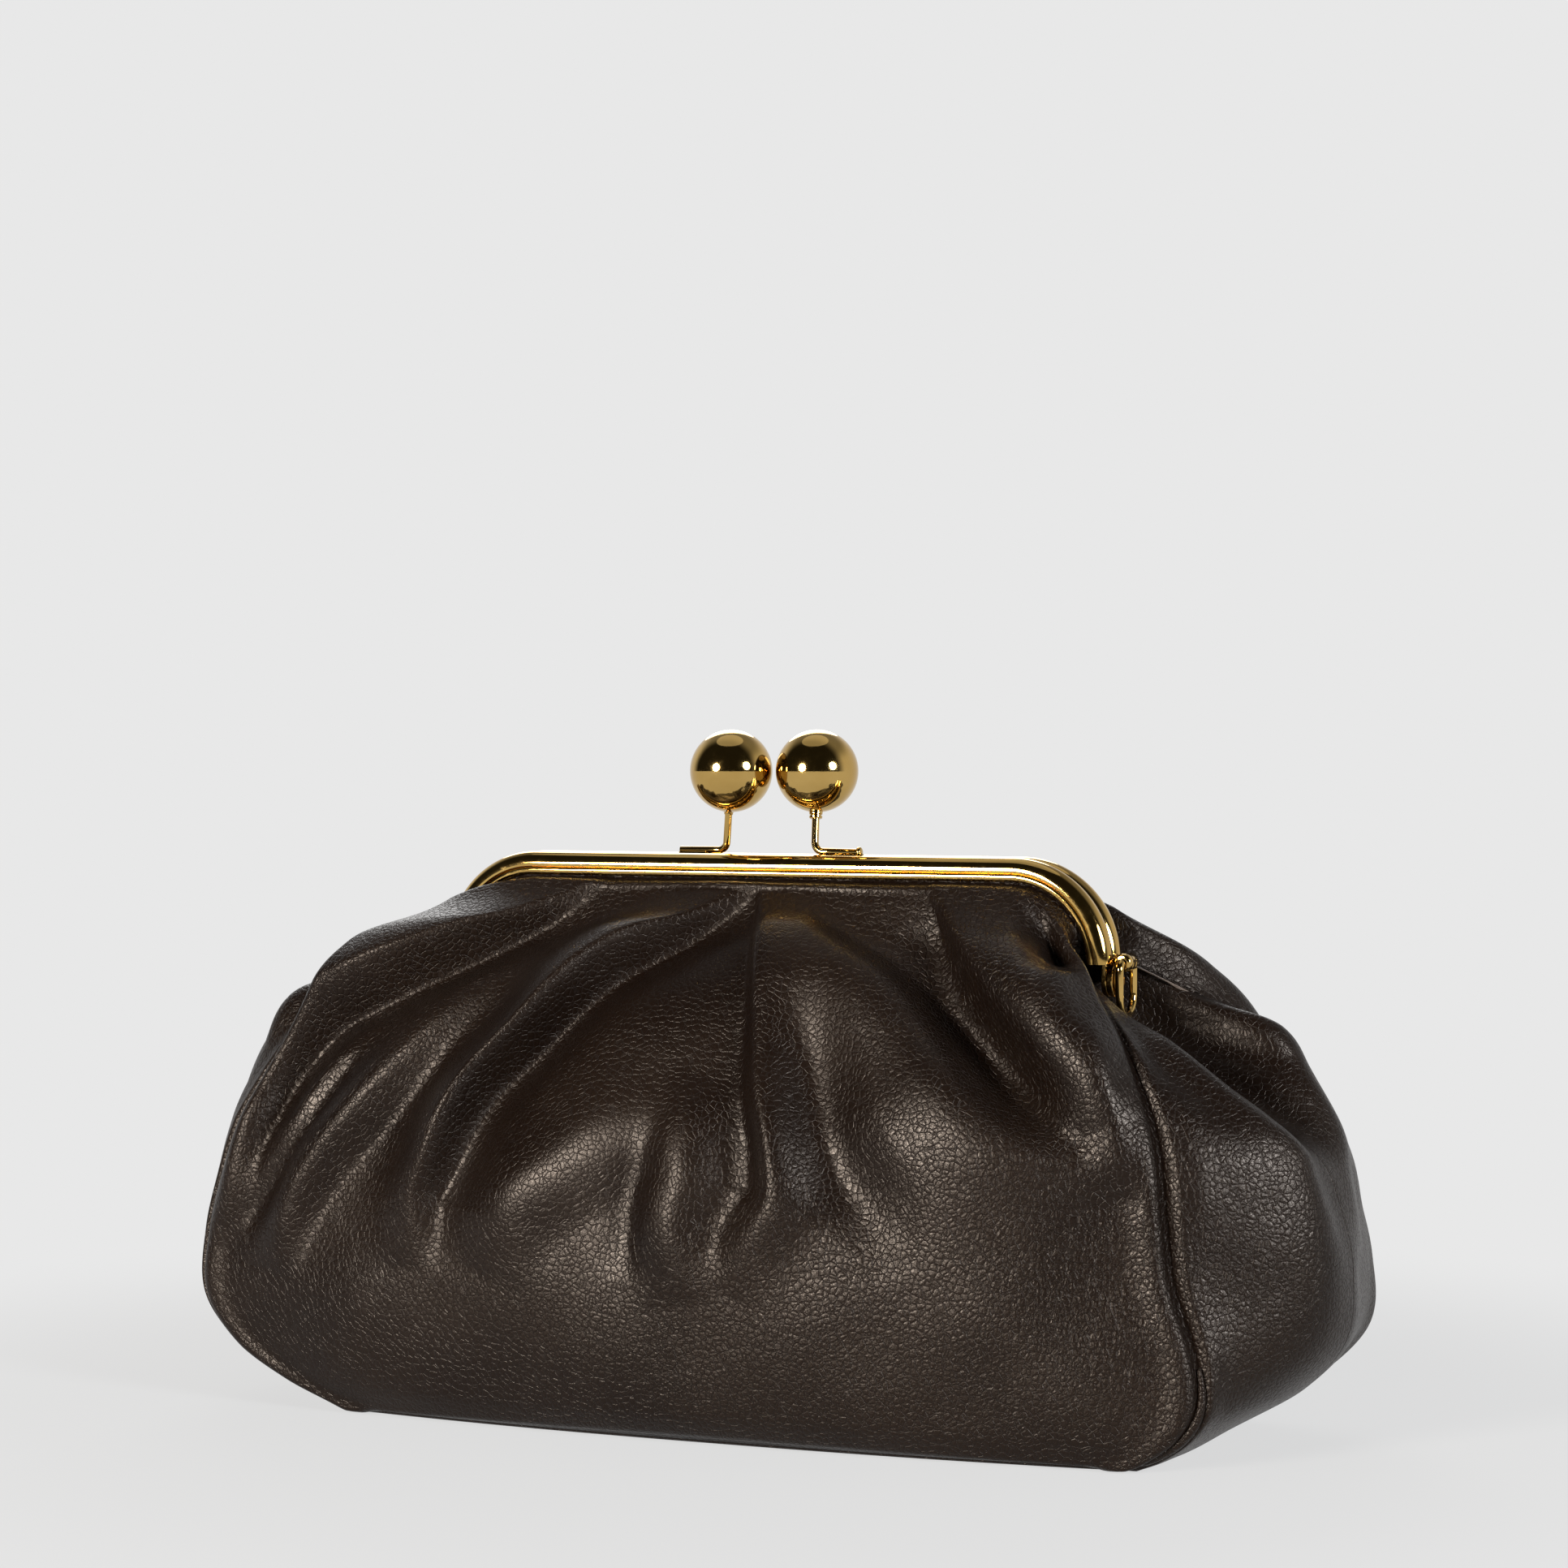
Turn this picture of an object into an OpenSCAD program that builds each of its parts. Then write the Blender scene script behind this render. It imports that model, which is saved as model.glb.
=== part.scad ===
// Kiss lock frame purse: a soft pleated leather pouch hung in a two-part metal frame.
// X runs along the frame, Y from front to back, Z up. The origin is on the floor at the middle.

/* [Bag] */
// Distance from the middle to a panel's fuller side seam, at its widest
far_seam_x = 138.5; // [132:0.5:144]
// Distance from the middle to a panel's tighter side seam, at its widest
near_seam_x = 120.3; // [114:0.5:126]
// How far the ends bulge out past their seams
end_bulge = 20; // [16:0.5:24]
// Deepest depth of the pouch, front to back
bag_d = 105; // [95:1:115]
// Distance between the front and the back bottom seam, at their ends
seam_d = 79; // [72:1:84]
// Height of the hinge pins above the floor
hinge_z = 106.5; // [98:0.5:116]

/* [Leather and lining] */
// Thickness of the leather
leather_t = 1.6; // [1.2:0.1:1.8]
// Thickness of the lining cloth with its backing
lining_t = 0.7; // [0.5:0.1:0.8]
// Gap between the leather and the lining
lining_gap = 0.25; // [0.2:0.05:0.3]
// Thickness of the base board
board_t = 1.5; // [1:0.1:2]
// Length of the base board
board_w = 196; // [180:1:200]
// Width of the base board
board_d = 66; // [56:1:70]
// Corner radius of the base board
board_r = 12; // [6:1:20]

/* [Frame] */
// Width of the frame over its outer faces
frame_w = 174; // [164:1:182]
// Height of the frame's top above the hinge pins
frame_rise = 28.5; // [26:0.5:32]
// Thickness of one frame half, front to back
rail_t = 6.2; // [5.8:0.1:6.6]
// Height of the rail's section, from its rounded back to its lip
rail_h = 5.6; // [5.2:0.1:6.2]
// Wall between the rounded back of the rail and its channel
rail_back = 1.4; // [1.2:0.1:1.6]
// Side wall of the channel
rail_wall = 1.2; // [1:0.05:1.3]
// Gap between the two closed frame halves
frame_gap = 0.3; // [0.2:0.05:0.4]
// Diameter of the beads on the front face
bead_d = 0.8; // [0.5:0.1:0.9]
// Diameter of the paper cord packed in the channel
cord_d = 1.7; // [1.4:0.1:1.8]

/* [Clasp] */
// Diameter of a clasp ball
ball_d = 20; // [16:0.5:22]
// Gap left between the two balls side by side
ball_gap = 0.3; // [0.2:0.1:0.8]
// How far a ball's centre leans past the middle of the frame
ball_cross = 2.65; // [1.5:0.05:3.5]
// Height of the ball centres above the frame's top
ball_rise = 20; // [18:0.5:24]
// Diameter of the stem wire
stem_d = 1.8; // [1.6:0.1:2]
// Bend radius of the stem wire, on its centre line
stem_bend = 2.4; // [2:0.1:3]
// Length of a stem's foot, from the stem's line to the foot's end
foot_l = 12.2; // [10:0.1:14]
// Distance of the front stem's line from the middle of the frame
front_foot_x = 11.4; // [9:0.1:13]
// Distance of the back stem's line from the middle of the frame
back_foot_x = 13.4; // [11:0.1:15]
// Distance of a foot from the middle plane between the frame halves
foot_y = 1.7; // [1.4:0.1:2]
// Length of the pad that holds a foot
pad_l = 7.8; // [6:0.1:9]
// Width of the pad that holds a foot
pad_w = 2.4; // [2:0.1:2.6]
// Diameter of the collar under a ball
collar_d = 3.4; // [3:0.1:4]
// Height of the collar under a ball
collar_h = 1.6; // [1:0.1:2.5]
// Depth of the stem in the ball
stem_depth = 4; // [2:0.5:6]

/* [Hinges and rings] */
// Diameter of a hinge rivet
rivet_d = 2.6; // [2:0.1:3]
// Radius of a hinge ear
ear_r = 3.8; // [3.4:0.1:4]
// Thickness of a hinge ear
ear_t = 1.3; // [1:0.05:1.4]
// Gap between hinge ears
ear_gap = 0.1; // [0.05:0.01:0.15]
// Running clearance of a round pin in its hole, on the radius
pin_clearance = 0.05; // [0.03:0.01:0.08]
// Diameter of a rivet's head
head_d = 4; // [3.6:0.1:4.2]
// Thickness of a rivet's head
head_t = 0.9; // [0.7:0.1:1]
// Thickness of the tab under a ring barrel
tab_t = 0.7; // [0.5:0.05:0.9]
// Outer diameter of a ring barrel
barrel_d = 4.2; // [3.8:0.1:4.6]
// Length of a ring barrel
barrel_l = 6.4; // [5.6:0.1:7]
// Diameter of the ring wire
ring_wire = 1.9; // [1.6:0.05:2]
// Outer width of a ring
ring_w = 12; // [11:0.1:14]
// Outer height of a ring
ring_h = 14.3; // [13:0.1:16]
// Bend radius at a ring's upper corners, on the centre line
ring_bend = 1.75; // [1.5:0.05:2]

/* [Hidden] */
$fn = 48;

leather_color = [0.19, 0.145, 0.13];
lining_color = [0.30, 0.25, 0.21];
board_color = [0.42, 0.38, 0.33];
gold_color = [0.86, 0.68, 0.33];
cord_color = [0.72, 0.66, 0.55];

// Frame, worked out from the driving sizes
seat_gap = 0.02;
ear_drop = 0.2;
frame_top = hinge_z + frame_rise;
half_w = frame_w / 2;
corner_r = frame_rise - ear_r - ear_drop;
flat_x = half_w - corner_r;
corner_z = frame_top - corner_r;
rail_mid = frame_gap / 2 + rail_t / 2;
channel_w = rail_t - 2 * rail_wall;
channel_out = frame_gap / 2 + rail_t - rail_wall;

// Leather in the channel: the sheet's outer face, how deep it sits, where it turns at the end
tuck_gap = 0.25;
neck_drop = 1.2;
neck_out = 1.4;
hang_drop = 3.5;
tuck_y = channel_out - tuck_gap;
tuck_h = 3.4;
lip_clear = 0.4;
tuck_angle = 6;
cord_h = rail_back + cord_d / 2 + 0.1;
cord_end = 2.2;

// Panel rows: height of a row at the seam, as a share of the seam's top
seam_rise = 4.5;
seam_top = hinge_z + seam_rise;
rows = [0, 0.02, 0.065, 0.13, 0.235, 0.375, 0.5, 0.615, 0.69, 0.765, 0.84, 0.9, 0.945, 1];
side_rows = len(rows);
columns = 20;
ribs = 12;

// Side seams: how far out they run, from their top (0) to their widest (1), by height
near_out = [[0, 0.57], [0.02, 0.71], [0.065, 0.89], [0.13, 0.99], [0.235, 0.96], [0.375, 0.82],
    [0.5, 0.77], [0.615, 0.73], [0.69, 0.67], [0.765, 0.57], [0.84, 0.44], [0.9, 0.3],
    [0.945, 0.18], [1, 0]];
far_out = [[0, 0.12], [0.02, 0.24], [0.065, 0.52], [0.13, 0.8], [0.235, 1], [0.375, 1],
    [0.5, 0.93], [0.615, 0.84], [0.69, 0.75], [0.765, 0.65], [0.84, 0.53], [0.9, 0.37],
    [0.945, 0.23], [1, 0]];
near_top_in = 5;
far_top_out = 4;
near_top_x = half_w - near_top_in;
far_top_x = half_w + far_top_out;
// Side seams: distance from the middle plane, as a share of half the seam depth, by height
seam_deep = [[0, 1], [0.13, 0.96], [0.375, 0.91], [0.615, 0.86], [0.765, 0.76], [0.84, 0.67],
    [0.9, 0.56], [0.945, 0.46], [1, 0.3]];
// Panel middle: distance from the middle plane, as a share of half the bag depth, by height
belly_deep = [[0, 0.87], [0.065, 0.95], [0.235, 1], [0.375, 0.99], [0.5, 0.95], [0.615, 0.87],
    [0.765, 0.67], [0.84, 0.54], [0.9, 0.39], [0.945, 0.26], [1, 0.165]];
// Panel middle: how much higher a row runs there than at the seam, as a share of the full rise
belly_lift = [[0, 0], [0.235, 0.2], [0.5, 0.38], [0.69, 0.6], [0.84, 0.78], [1, 1]];
// How much a row takes the frame's own shape, by height
follow_frame = [[0, 0], [0.6, 0], [0.77, 0.3], [0.9, 0.6], [1, 0.92]];
// Share of a panel's width at which the sheet narrows to its seam
belly_power = 2.4;

// Gusset: how far it stands out past the line between its seams, as a share of the bulge, by
// height. A fold runs down each of four lines across it, at these shares of the seam's distance.
front_line = -0.45;
valley_line = 0;
inner_line = 0.3;
back_line = 0.65;
front_fold = [[0, 0.15], [0.02, 0.2], [0.065, 0.15], [0.13, 0.3], [0.235, 0.6], [0.375, 0.9],
    [0.5, 1], [0.615, 1], [0.69, 0.78], [0.765, 0.33], [0.84, -0.07], [0.9, -0.23],
    [0.945, -0.25], [1, -0.15]];
valley_fold = [[0, 0.15], [0.02, 0.2], [0.065, 0.2], [0.13, 0.33], [0.235, 0.62], [0.375, 0.86],
    [0.5, 0.9], [0.615, 0.78], [0.69, 0.45], [0.765, -0.1], [0.84, -0.85], [0.9, -1.1],
    [0.945, -1], [1, -0.6]];
inner_fold = [[0, 0.2], [0.02, 0.2], [0.065, 0.14], [0.13, 0.2], [0.235, 0.45], [0.375, 0.63],
    [0.5, 0.68], [0.615, 0.64], [0.69, 0.52], [0.765, 0.2], [0.84, -0.6], [0.9, -0.95],
    [0.945, -0.9], [1, -0.55]];
back_fold = [[0, 0.1], [0.02, 0.1], [0.065, 0.05], [0.13, 0], [0.235, 0.2], [0.375, 0.35],
    [0.5, 0.4], [0.615, 0.45], [0.69, 0.42], [0.765, 0.35], [0.84, 0.25], [0.9, 0.02],
    [0.945, -0.25], [1, -0.35]];
// How far the gusset's top edge hangs under its ends, and where that starts
edge_dip = 7;
dip_start = 0.84;

// Inward direction at a seam, shared by the two sheets that meet there
mitre_up = [[0, 0.72], [0.02, 0.6], [0.065, 0.4], [0.13, 0.2], [0.235, 0], [1, 0]];
mitre_in = [0.6, 0.8];
mitre_reach = 1.25;

// Ball centres, stem lines and pads
ball_x = (ball_d + ball_gap) / 2;
ball_z = frame_top + ball_rise;
knuckle = 0.15;
foot_sink = 0.2;
foot_z = frame_top + stem_d / 2 - foot_sink;
pad_floor = 2;
pad_end = 0.6;

// Hinge stack, from the inner head outwards
tab_x = half_w + 0.15;
head_out_x = tab_x + tab_t;
back_ear_x = tab_x - ear_gap - ear_t;
front_ear_x = back_ear_x - ear_gap - ear_t;
head_in_x = front_ear_x - ear_gap - head_t;
neck_up = 1.5;
block_edge = 0.3;
block_w = channel_w + 2 * block_edge;
neck_y_out = ear_r - 0.3;
barrel_seat = 0.15;
barrel_lift = 0.3;
barrel_x = tab_x + barrel_seat + barrel_d / 2;
barrel_z = hinge_z + head_d / 2 + barrel_d / 2 + barrel_lift;
bore_clearance = 0.07;

// Smooth curve through a list of [place, value] pairs
function span(tb, t, i = 0) = (i >= len(tb) - 2 || t <= tb[i + 1][0]) ? i : span(tb, t, i + 1);
function rise(tb, i) =
    let (a = max(i - 1, 0), b = min(i + 1, len(tb) - 1))
    (tb[b][1] - tb[a][1]) / (tb[b][0] - tb[a][0]);
function curve(tb, t) =
    let (i = span(tb, t), h = tb[i + 1][0] - tb[i][0], u = (t - tb[i][0]) / h)
    (2 * pow(u, 3) - 3 * u * u + 1) * tb[i][1]
    + (pow(u, 3) - 2 * u * u + u) * h * rise(tb, i)
    + (3 * u * u - 2 * pow(u, 3)) * tb[i + 1][1]
    + (pow(u, 3) - u * u) * h * rise(tb, i + 1);
function mix(a, b, f) = a + (b - a) * f;
function unit(v) = v / norm(v);

// Point at share s of the frame's inward-offset outline, as [x, z]
function arch_length(h) = flat_x + (corner_r - h) * (90 - tuck_angle) * PI / 180;
function arch(s, h) =
    let (d = abs(s) * arch_length(h), side = s < 0 ? -1 : 1)
    d <= flat_x
    ? [side * d, frame_top - h]
    : let (a = 90 - (d - flat_x) / (corner_r - h) * 180 / PI)
      [side * (flat_x + (corner_r - h) * cos(a)), corner_z + (corner_r - h) * sin(a)];

// Seam point at height share t, for a panel's fuller side (1) or tighter side (-1)
function seam(t, side) =
    [side > 0 ? mix(far_top_x, far_seam_x, curve(far_out, t))
        : mix(near_top_x, near_seam_x, curve(near_out, t)),
     curve(seam_deep, t) * seam_d / 2, t * seam_top];

// Panel sheet: outer face of the back panel at row i and column j. The front panel is the same,
// turned half a turn. Its last rows pass under the rail's lip and up into the channel.
lip_h = rail_h + lip_clear;
neck_h = lip_h + neck_drop;
neck_y = frame_gap / 2 + rail_t + neck_out;
hang_h = lip_h + hang_drop;
row_lift = frame_top - hang_h - seam_top;
neck_row = side_rows;
lip_row = side_rows + 1;
tuck_row = side_rows + 2;
function panel_low(t, s) =
    let (
        e = seam(t, s),
        f = curve(follow_frame, t),
        p = arch(s, hang_h),
        q = arch(1, hang_h),
        x = mix(e[0] * s, p[0] * e[0] / q[0], f),
        g = mix(1 - pow(abs(s), 2.2), (p[1] - q[1]) / (frame_top - hang_h - q[1]), f),
        z = e[2] + row_lift * curve(belly_lift, t) * g,
        y = mix(curve(belly_deep, t) * bag_d / 2, e[1], pow(abs(s), belly_power))
    )
    [x, y, z];
function panel_face(i, j) =
    let (s = 2 * j / columns - 1)
    i < neck_row ? panel_low(rows[i], s)
    : let (h = i == neck_row ? neck_h : i == lip_row ? lip_h : tuck_h, p = arch(s, h))
      [p[0], i == neck_row ? neck_y : tuck_y, p[1]];
function turned(p) = [-p[0], -p[1], p[2]];

// Gusset sheet: rows run down the right side, along the base and up the left side
base_rows = columns - 1;
gusset_rows = 2 * side_rows + base_rows;
function gusset_side(t, w) =
    let (
        near = seam(t, -1),
        far = seam(t, 1),
        across = [[-1, 0], [front_line, curve(front_fold, t)], [valley_line, curve(valley_fold, t)],
            [inner_line, curve(inner_fold, t)], [back_line, curve(back_fold, t)], [1, 0]],
        dip = edge_dip * max(0, t - dip_start) / (1 - dip_start)
    )
    [mix(near[0], far[0], (1 + w) / 2) + end_bulge * curve(across, w), w * near[1],
     near[2] - dip * (1 - w * w)];
function gusset_face(i, j) =
    let (w = 2 * j / ribs - 1, k = i - side_rows + 1)
    i < side_rows ? gusset_side(rows[side_rows - 1 - i], w)
    : k <= base_rows
    ? mix(turned(panel_face(0, k)), panel_face(0, columns - k), (1 + w) / 2)
    : turned(gusset_side(rows[k - base_rows - 1], -w));

// Inward direction at a seam point, from its height share and its side
function seam_inward(t, side_x, side_y) =
    let (up = curve(mitre_up, t), flat = sqrt(1 - up * up))
    mitre_reach * [-side_x * mitre_in[0] * flat, -side_y * mitre_in[1] * flat, up];
function base_inward(side_y) =
    let (up = mitre_up[0][1]) mitre_reach * [0, -side_y * sqrt(1 - up * up), up];

// Inward direction on a panel, which leans straight in where the frame holds it
function panel_normal(i, j) =
    let (
        a = panel_face(i, max(j - 1, 0)),
        b = panel_face(i, min(j + 1, columns)),
        c = panel_face(max(i - 1, 0), j),
        d = panel_face(min(i + 1, tuck_row), j)
    )
    unit(cross(b - a, d - c));
function panel_inward(i, j) =
    i >= lip_row ? [0, -1, 0]
    : i < neck_row && (j == 0 || j == columns)
    ? seam_inward(rows[i], j == 0 ? -1 : 1, 1)
    : i == 0 ? base_inward(1)
    : panel_normal(i, j);

function gusset_normal(i, j) =
    let (
        a = gusset_face(i, max(j - 1, 0)),
        b = gusset_face(i, min(j + 1, ribs)),
        c = gusset_face(max(i - 1, 0), j),
        d = gusset_face(min(i + 1, gusset_rows - 1), j)
    )
    unit(cross(b - a, d - c));
function gusset_inward(i, j) =
    (j > 0 && j < ribs) ? gusset_normal(i, j)
    : let (side_y = j == 0 ? -1 : 1)
      i < side_rows ? seam_inward(rows[side_rows - 1 - i], 1, side_y)
      : i < side_rows + base_rows ? base_inward(side_y)
      : seam_inward(rows[i - side_rows - base_rows], -1, side_y);

// Closed shell between two faces of a grid of points
function sheet_points(outer, inner) = concat([for (r = outer) each r], [for (r = inner) each r]);
function sheet_faces(m, n) =
    let (k = m * n, at = function (i, j) i * n + j)
    concat(
        [for (i = [0:m - 2], j = [0:n - 2]) each [
            [at(i, j), at(i, j + 1), at(i + 1, j + 1)],
            [at(i, j), at(i + 1, j + 1), at(i + 1, j)],
            [k + at(i, j), k + at(i + 1, j + 1), k + at(i, j + 1)],
            [k + at(i, j), k + at(i + 1, j), k + at(i + 1, j + 1)]]],
        [for (i = [0:m - 2]) each [
            [at(i, 0), at(i + 1, 0), k + at(i + 1, 0)],
            [at(i, 0), k + at(i + 1, 0), k + at(i, 0)],
            [at(i, n - 1), k + at(i + 1, n - 1), at(i + 1, n - 1)],
            [at(i, n - 1), k + at(i, n - 1), k + at(i + 1, n - 1)]]],
        [for (j = [0:n - 2]) each [
            [at(0, j), k + at(0, j + 1), at(0, j + 1)],
            [at(0, j), k + at(0, j), k + at(0, j + 1)],
            [at(m - 1, j), at(m - 1, j + 1), k + at(m - 1, j + 1)],
            [at(m - 1, j), k + at(m - 1, j + 1), k + at(m - 1, j)]]]
    );

module panel_shell(near, far) {
    faces = [for (i = [0:tuck_row]) [for (j = [0:columns]) panel_face(i, j)]];
    inward = [for (i = [0:tuck_row]) [for (j = [0:columns]) panel_inward(i, j)]];
    polyhedron(
        sheet_points(faces + near * inward, faces + far * inward),
        sheet_faces(tuck_row + 1, columns + 1)
    );
}

module gusset_shell(near, far) {
    faces = [for (i = [0:gusset_rows - 1]) [for (j = [0:ribs]) gusset_face(i, j)]];
    inward = [for (i = [0:gusset_rows - 1]) [for (j = [0:ribs]) gusset_inward(i, j)]];
    polyhedron(
        sheet_points(faces + near * inward, faces + far * inward),
        sheet_faces(gusset_rows, ribs + 1)
    );
}

lining_near = leather_t + lining_gap;
lining_far = lining_near + lining_t;

module gusset() {
    color(leather_color) gusset_shell(0, leather_t);
}

module back_panel() {
    color(leather_color) panel_shell(0, leather_t);
}

module front_panel() {
    color(leather_color) rotate([0, 0, 180]) panel_shell(0, leather_t);
}

module gusset_lining() {
    color(lining_color) gusset_shell(lining_near, lining_far);
}

module back_lining() {
    color(lining_color) panel_shell(lining_near, lining_far);
}

module front_lining() {
    color(lining_color) rotate([0, 0, 180]) panel_shell(lining_near, lining_far);
}

// Stiff board laid on the lining in the bottom
module base_board() {
    color(board_color)
        translate([0, 0, lining_far + lining_gap])
            linear_extrude(board_t) {
                square([board_w - 2 * board_r, board_d], center = true);
                square([board_w, board_d - 2 * board_r], center = true);
                for (x = [-1, 1], y = [-1, 1])
                    translate([x * (board_w / 2 - board_r), y * (board_d / 2 - board_r)])
                        circle(r = board_r);
            }
}

// Rail section: x runs out from the lip to the rounded back, y towards the bag's outside
module rail_section() {
    difference() {
        union() {
            translate([-rail_t / 2, 0]) circle(d = rail_t);
            translate([-rail_h, -rail_t / 2]) square([rail_h - rail_t / 2, rail_t - bead_d / 4]);
            for (h = [0.62, 0.78])
                translate([-rail_h * h, rail_t / 2 - bead_d / 4]) circle(d = bead_d);
        }
        translate([-rail_h - 1, -channel_w / 2]) square([rail_h - rail_back + 1, channel_w]);
    }
}

// One frame half without its ears, on the front
module rail() {
    translate([-flat_x, -rail_mid, frame_top])
        rotate([0, -90, 0]) rotate([180, 0, 0])
            linear_extrude(2 * flat_x) rail_section();
    for (side = [0, 1])
        mirror([side, 0, 0])
            translate([flat_x, -rail_mid, corner_z])
                rotate([90, 0, 0])
                    rotate_extrude(angle = 90, $fn = 96)
                        translate([corner_r, 0]) rail_section();
}

// Flat ears that the rivets pass through, at both ends of a frame half, each on a block that
// closes the channel
module ears(x) {
    for (side = [0, 1])
        mirror([side, 0, 0])
            translate([x, 0, hinge_z]) {
                rotate([0, 90, 0]) cylinder(r = ear_r, h = ear_t);
                translate([0, -neck_y_out, 0])
                    cube([ear_t, neck_y_out - frame_gap / 2, ear_r + ear_drop + neck_up]);
            }
    for (side = [0, 1])
        mirror([side, 0, 0])
            translate([half_w - rail_h + block_edge, -rail_mid - block_w / 2, corner_z])
                cube([rail_h - rail_back, block_w, neck_up]);
}

module ear_holes() {
    translate([-half_w - 1, 0, hinge_z])
        rotate([0, 90, 0]) cylinder(d = rivet_d + 2 * pin_clearance, h = frame_w + 2);
}

module front_frame() {
    color(gold_color)
        difference() {
            union() {
                rail();
                ears(front_ear_x);
            }
            ear_holes();
        }
}

module back_frame() {
    color(gold_color)
        mirror([0, 1, 0])
            difference() {
                union() {
                    rail();
                    ears(back_ear_x);
                }
                ear_holes();
            }
}

// Paper cord packed behind the leather in the channel
module channel_cord() {
    difference() {
        union() {
            translate([-flat_x, -rail_mid, frame_top - cord_h])
                rotate([0, 90, 0]) cylinder(d = cord_d, h = 2 * flat_x);
            for (side = [0, 1])
                mirror([side, 0, 0])
                    translate([flat_x, -rail_mid, corner_z])
                        rotate([90, 0, 0])
                            rotate_extrude(angle = 90, $fn = 96)
                                translate([corner_r - cord_h, 0]) circle(d = cord_d);
        }
        translate([-half_w, -rail_t, corner_z - cord_end])
            cube([frame_w, rail_t, 2 * cord_end]);
    }
}

module front_channel_cord() {
    color(cord_color) channel_cord();
}

module back_channel_cord() {
    color(cord_color) mirror([0, 1, 0]) channel_cord();
}

// Clasp on the front half: turned half a turn, the same pieces serve the back half.
// A stem stands in a plane that is tipped about its foot, and leans in that plane.
function stem_run(x) = [ball_x - x, ball_cross + foot_y, ball_z - foot_z];
function stem_tip(x) = atan2(stem_run(x)[1], stem_run(x)[2]);
function stem_length(x) = norm([stem_run(x)[1], stem_run(x)[2]]);
function stem_lean(x) = atan2(ball_x - x, stem_length(x));

module stem_frame(x) {
    translate([x, -foot_y, foot_z]) rotate([-stem_tip(x), 0, 0]) children();
}

module stem_axis(x) {
    stem_frame(x) rotate([0, stem_lean(x), 0]) children();
}

module stem(x) {
    turn = 90 + stem_lean(x);
    reach = stem_bend * tan(turn / 2);
    top = norm(stem_run(x)) - ball_d / 2 + stem_depth;
    stem_frame(x)
        union() {
            translate([reach + knuckle, 0, 0])
                rotate([0, 90, 0]) cylinder(d = stem_d, h = foot_l - reach - knuckle);
            translate([reach, 0, 0])
                rotate([0, 90, 0]) sphere(d = stem_d + 2 * knuckle);
            translate([reach, 0, stem_bend])
                rotate([90, 0, 0]) rotate([0, 0, 270 - turn])
                    rotate_extrude(angle = turn) translate([stem_bend, 0]) circle(d = stem_d);
            rotate([0, stem_lean(x), 0]) {
                translate([0, 0, reach]) sphere(d = stem_d + 2 * knuckle);
                translate([0, 0, reach + knuckle])
                    cylinder(d = stem_d, h = top - reach - knuckle);
            }
        }
}

module pad(x) {
    difference() {
        translate([x + foot_l - pad_l, -foot_y - pad_w / 2, foot_z - pad_floor])
            cube([pad_l + pad_end, pad_w, pad_floor]);
        translate([0, -rail_mid, frame_top - rail_t / 2])
            rotate([0, 90, 0]) cylinder(d = rail_t + 2 * seat_gap, h = half_w, $fn = 96);
        translate([0, -foot_y, foot_z])
            rotate([0, 90, 0]) cylinder(d = stem_d + 2 * seat_gap, h = x + foot_l);
    }
}

module collar(x) {
    top = norm(stem_run(x)) - ball_d / 2;
    difference() {
        stem_axis(x)
            translate([0, 0, top - collar_h])
                difference() {
                    cylinder(d = collar_d, h = collar_h + 1);
                    translate([0, 0, -1]) cylinder(d = stem_d + 2 * seat_gap, h = collar_h + 3);
                }
        translate([ball_x, ball_cross, ball_z]) sphere(d = ball_d + 2 * seat_gap, $fn = 96);
    }
}

module ball(x) {
    difference() {
        translate([ball_x, ball_cross, ball_z]) sphere(d = ball_d, $fn = 96);
        stem_axis(x) cylinder(
            d = stem_d + 2 * seat_gap,
            h = norm(stem_run(x)) - ball_d / 2 + stem_depth + seat_gap
        );
    }
}

module to_back() {
    rotate([0, 0, 180]) children();
}

module front_stem() {
    color(gold_color) stem(front_foot_x);
}

module back_stem() {
    color(gold_color) to_back() stem(back_foot_x);
}

module front_stem_pad() {
    color(gold_color) pad(front_foot_x);
}

module back_stem_pad() {
    color(gold_color) to_back() pad(back_foot_x);
}

module front_ball_collar() {
    color(gold_color) collar(front_foot_x);
}

module back_ball_collar() {
    color(gold_color) to_back() collar(back_foot_x);
}

module front_ball() {
    color(gold_color) ball(front_foot_x);
}

module back_ball() {
    color(gold_color) to_back() ball(back_foot_x);
}

// Rivet through both ears and the barrel's tab
module hinge_rivet() {
    translate([head_in_x, 0, hinge_z])
        rotate([0, 90, 0]) {
            cylinder(d = head_d, h = head_t);
            cylinder(d = rivet_d, h = head_out_x - head_in_x);
            translate([0, 0, head_out_x - head_in_x]) {
                cylinder(d = head_d, h = head_t / 2);
                translate([0, 0, head_t / 2]) cylinder(d = head_d - 1, h = head_t / 2);
            }
        }
}

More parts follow.
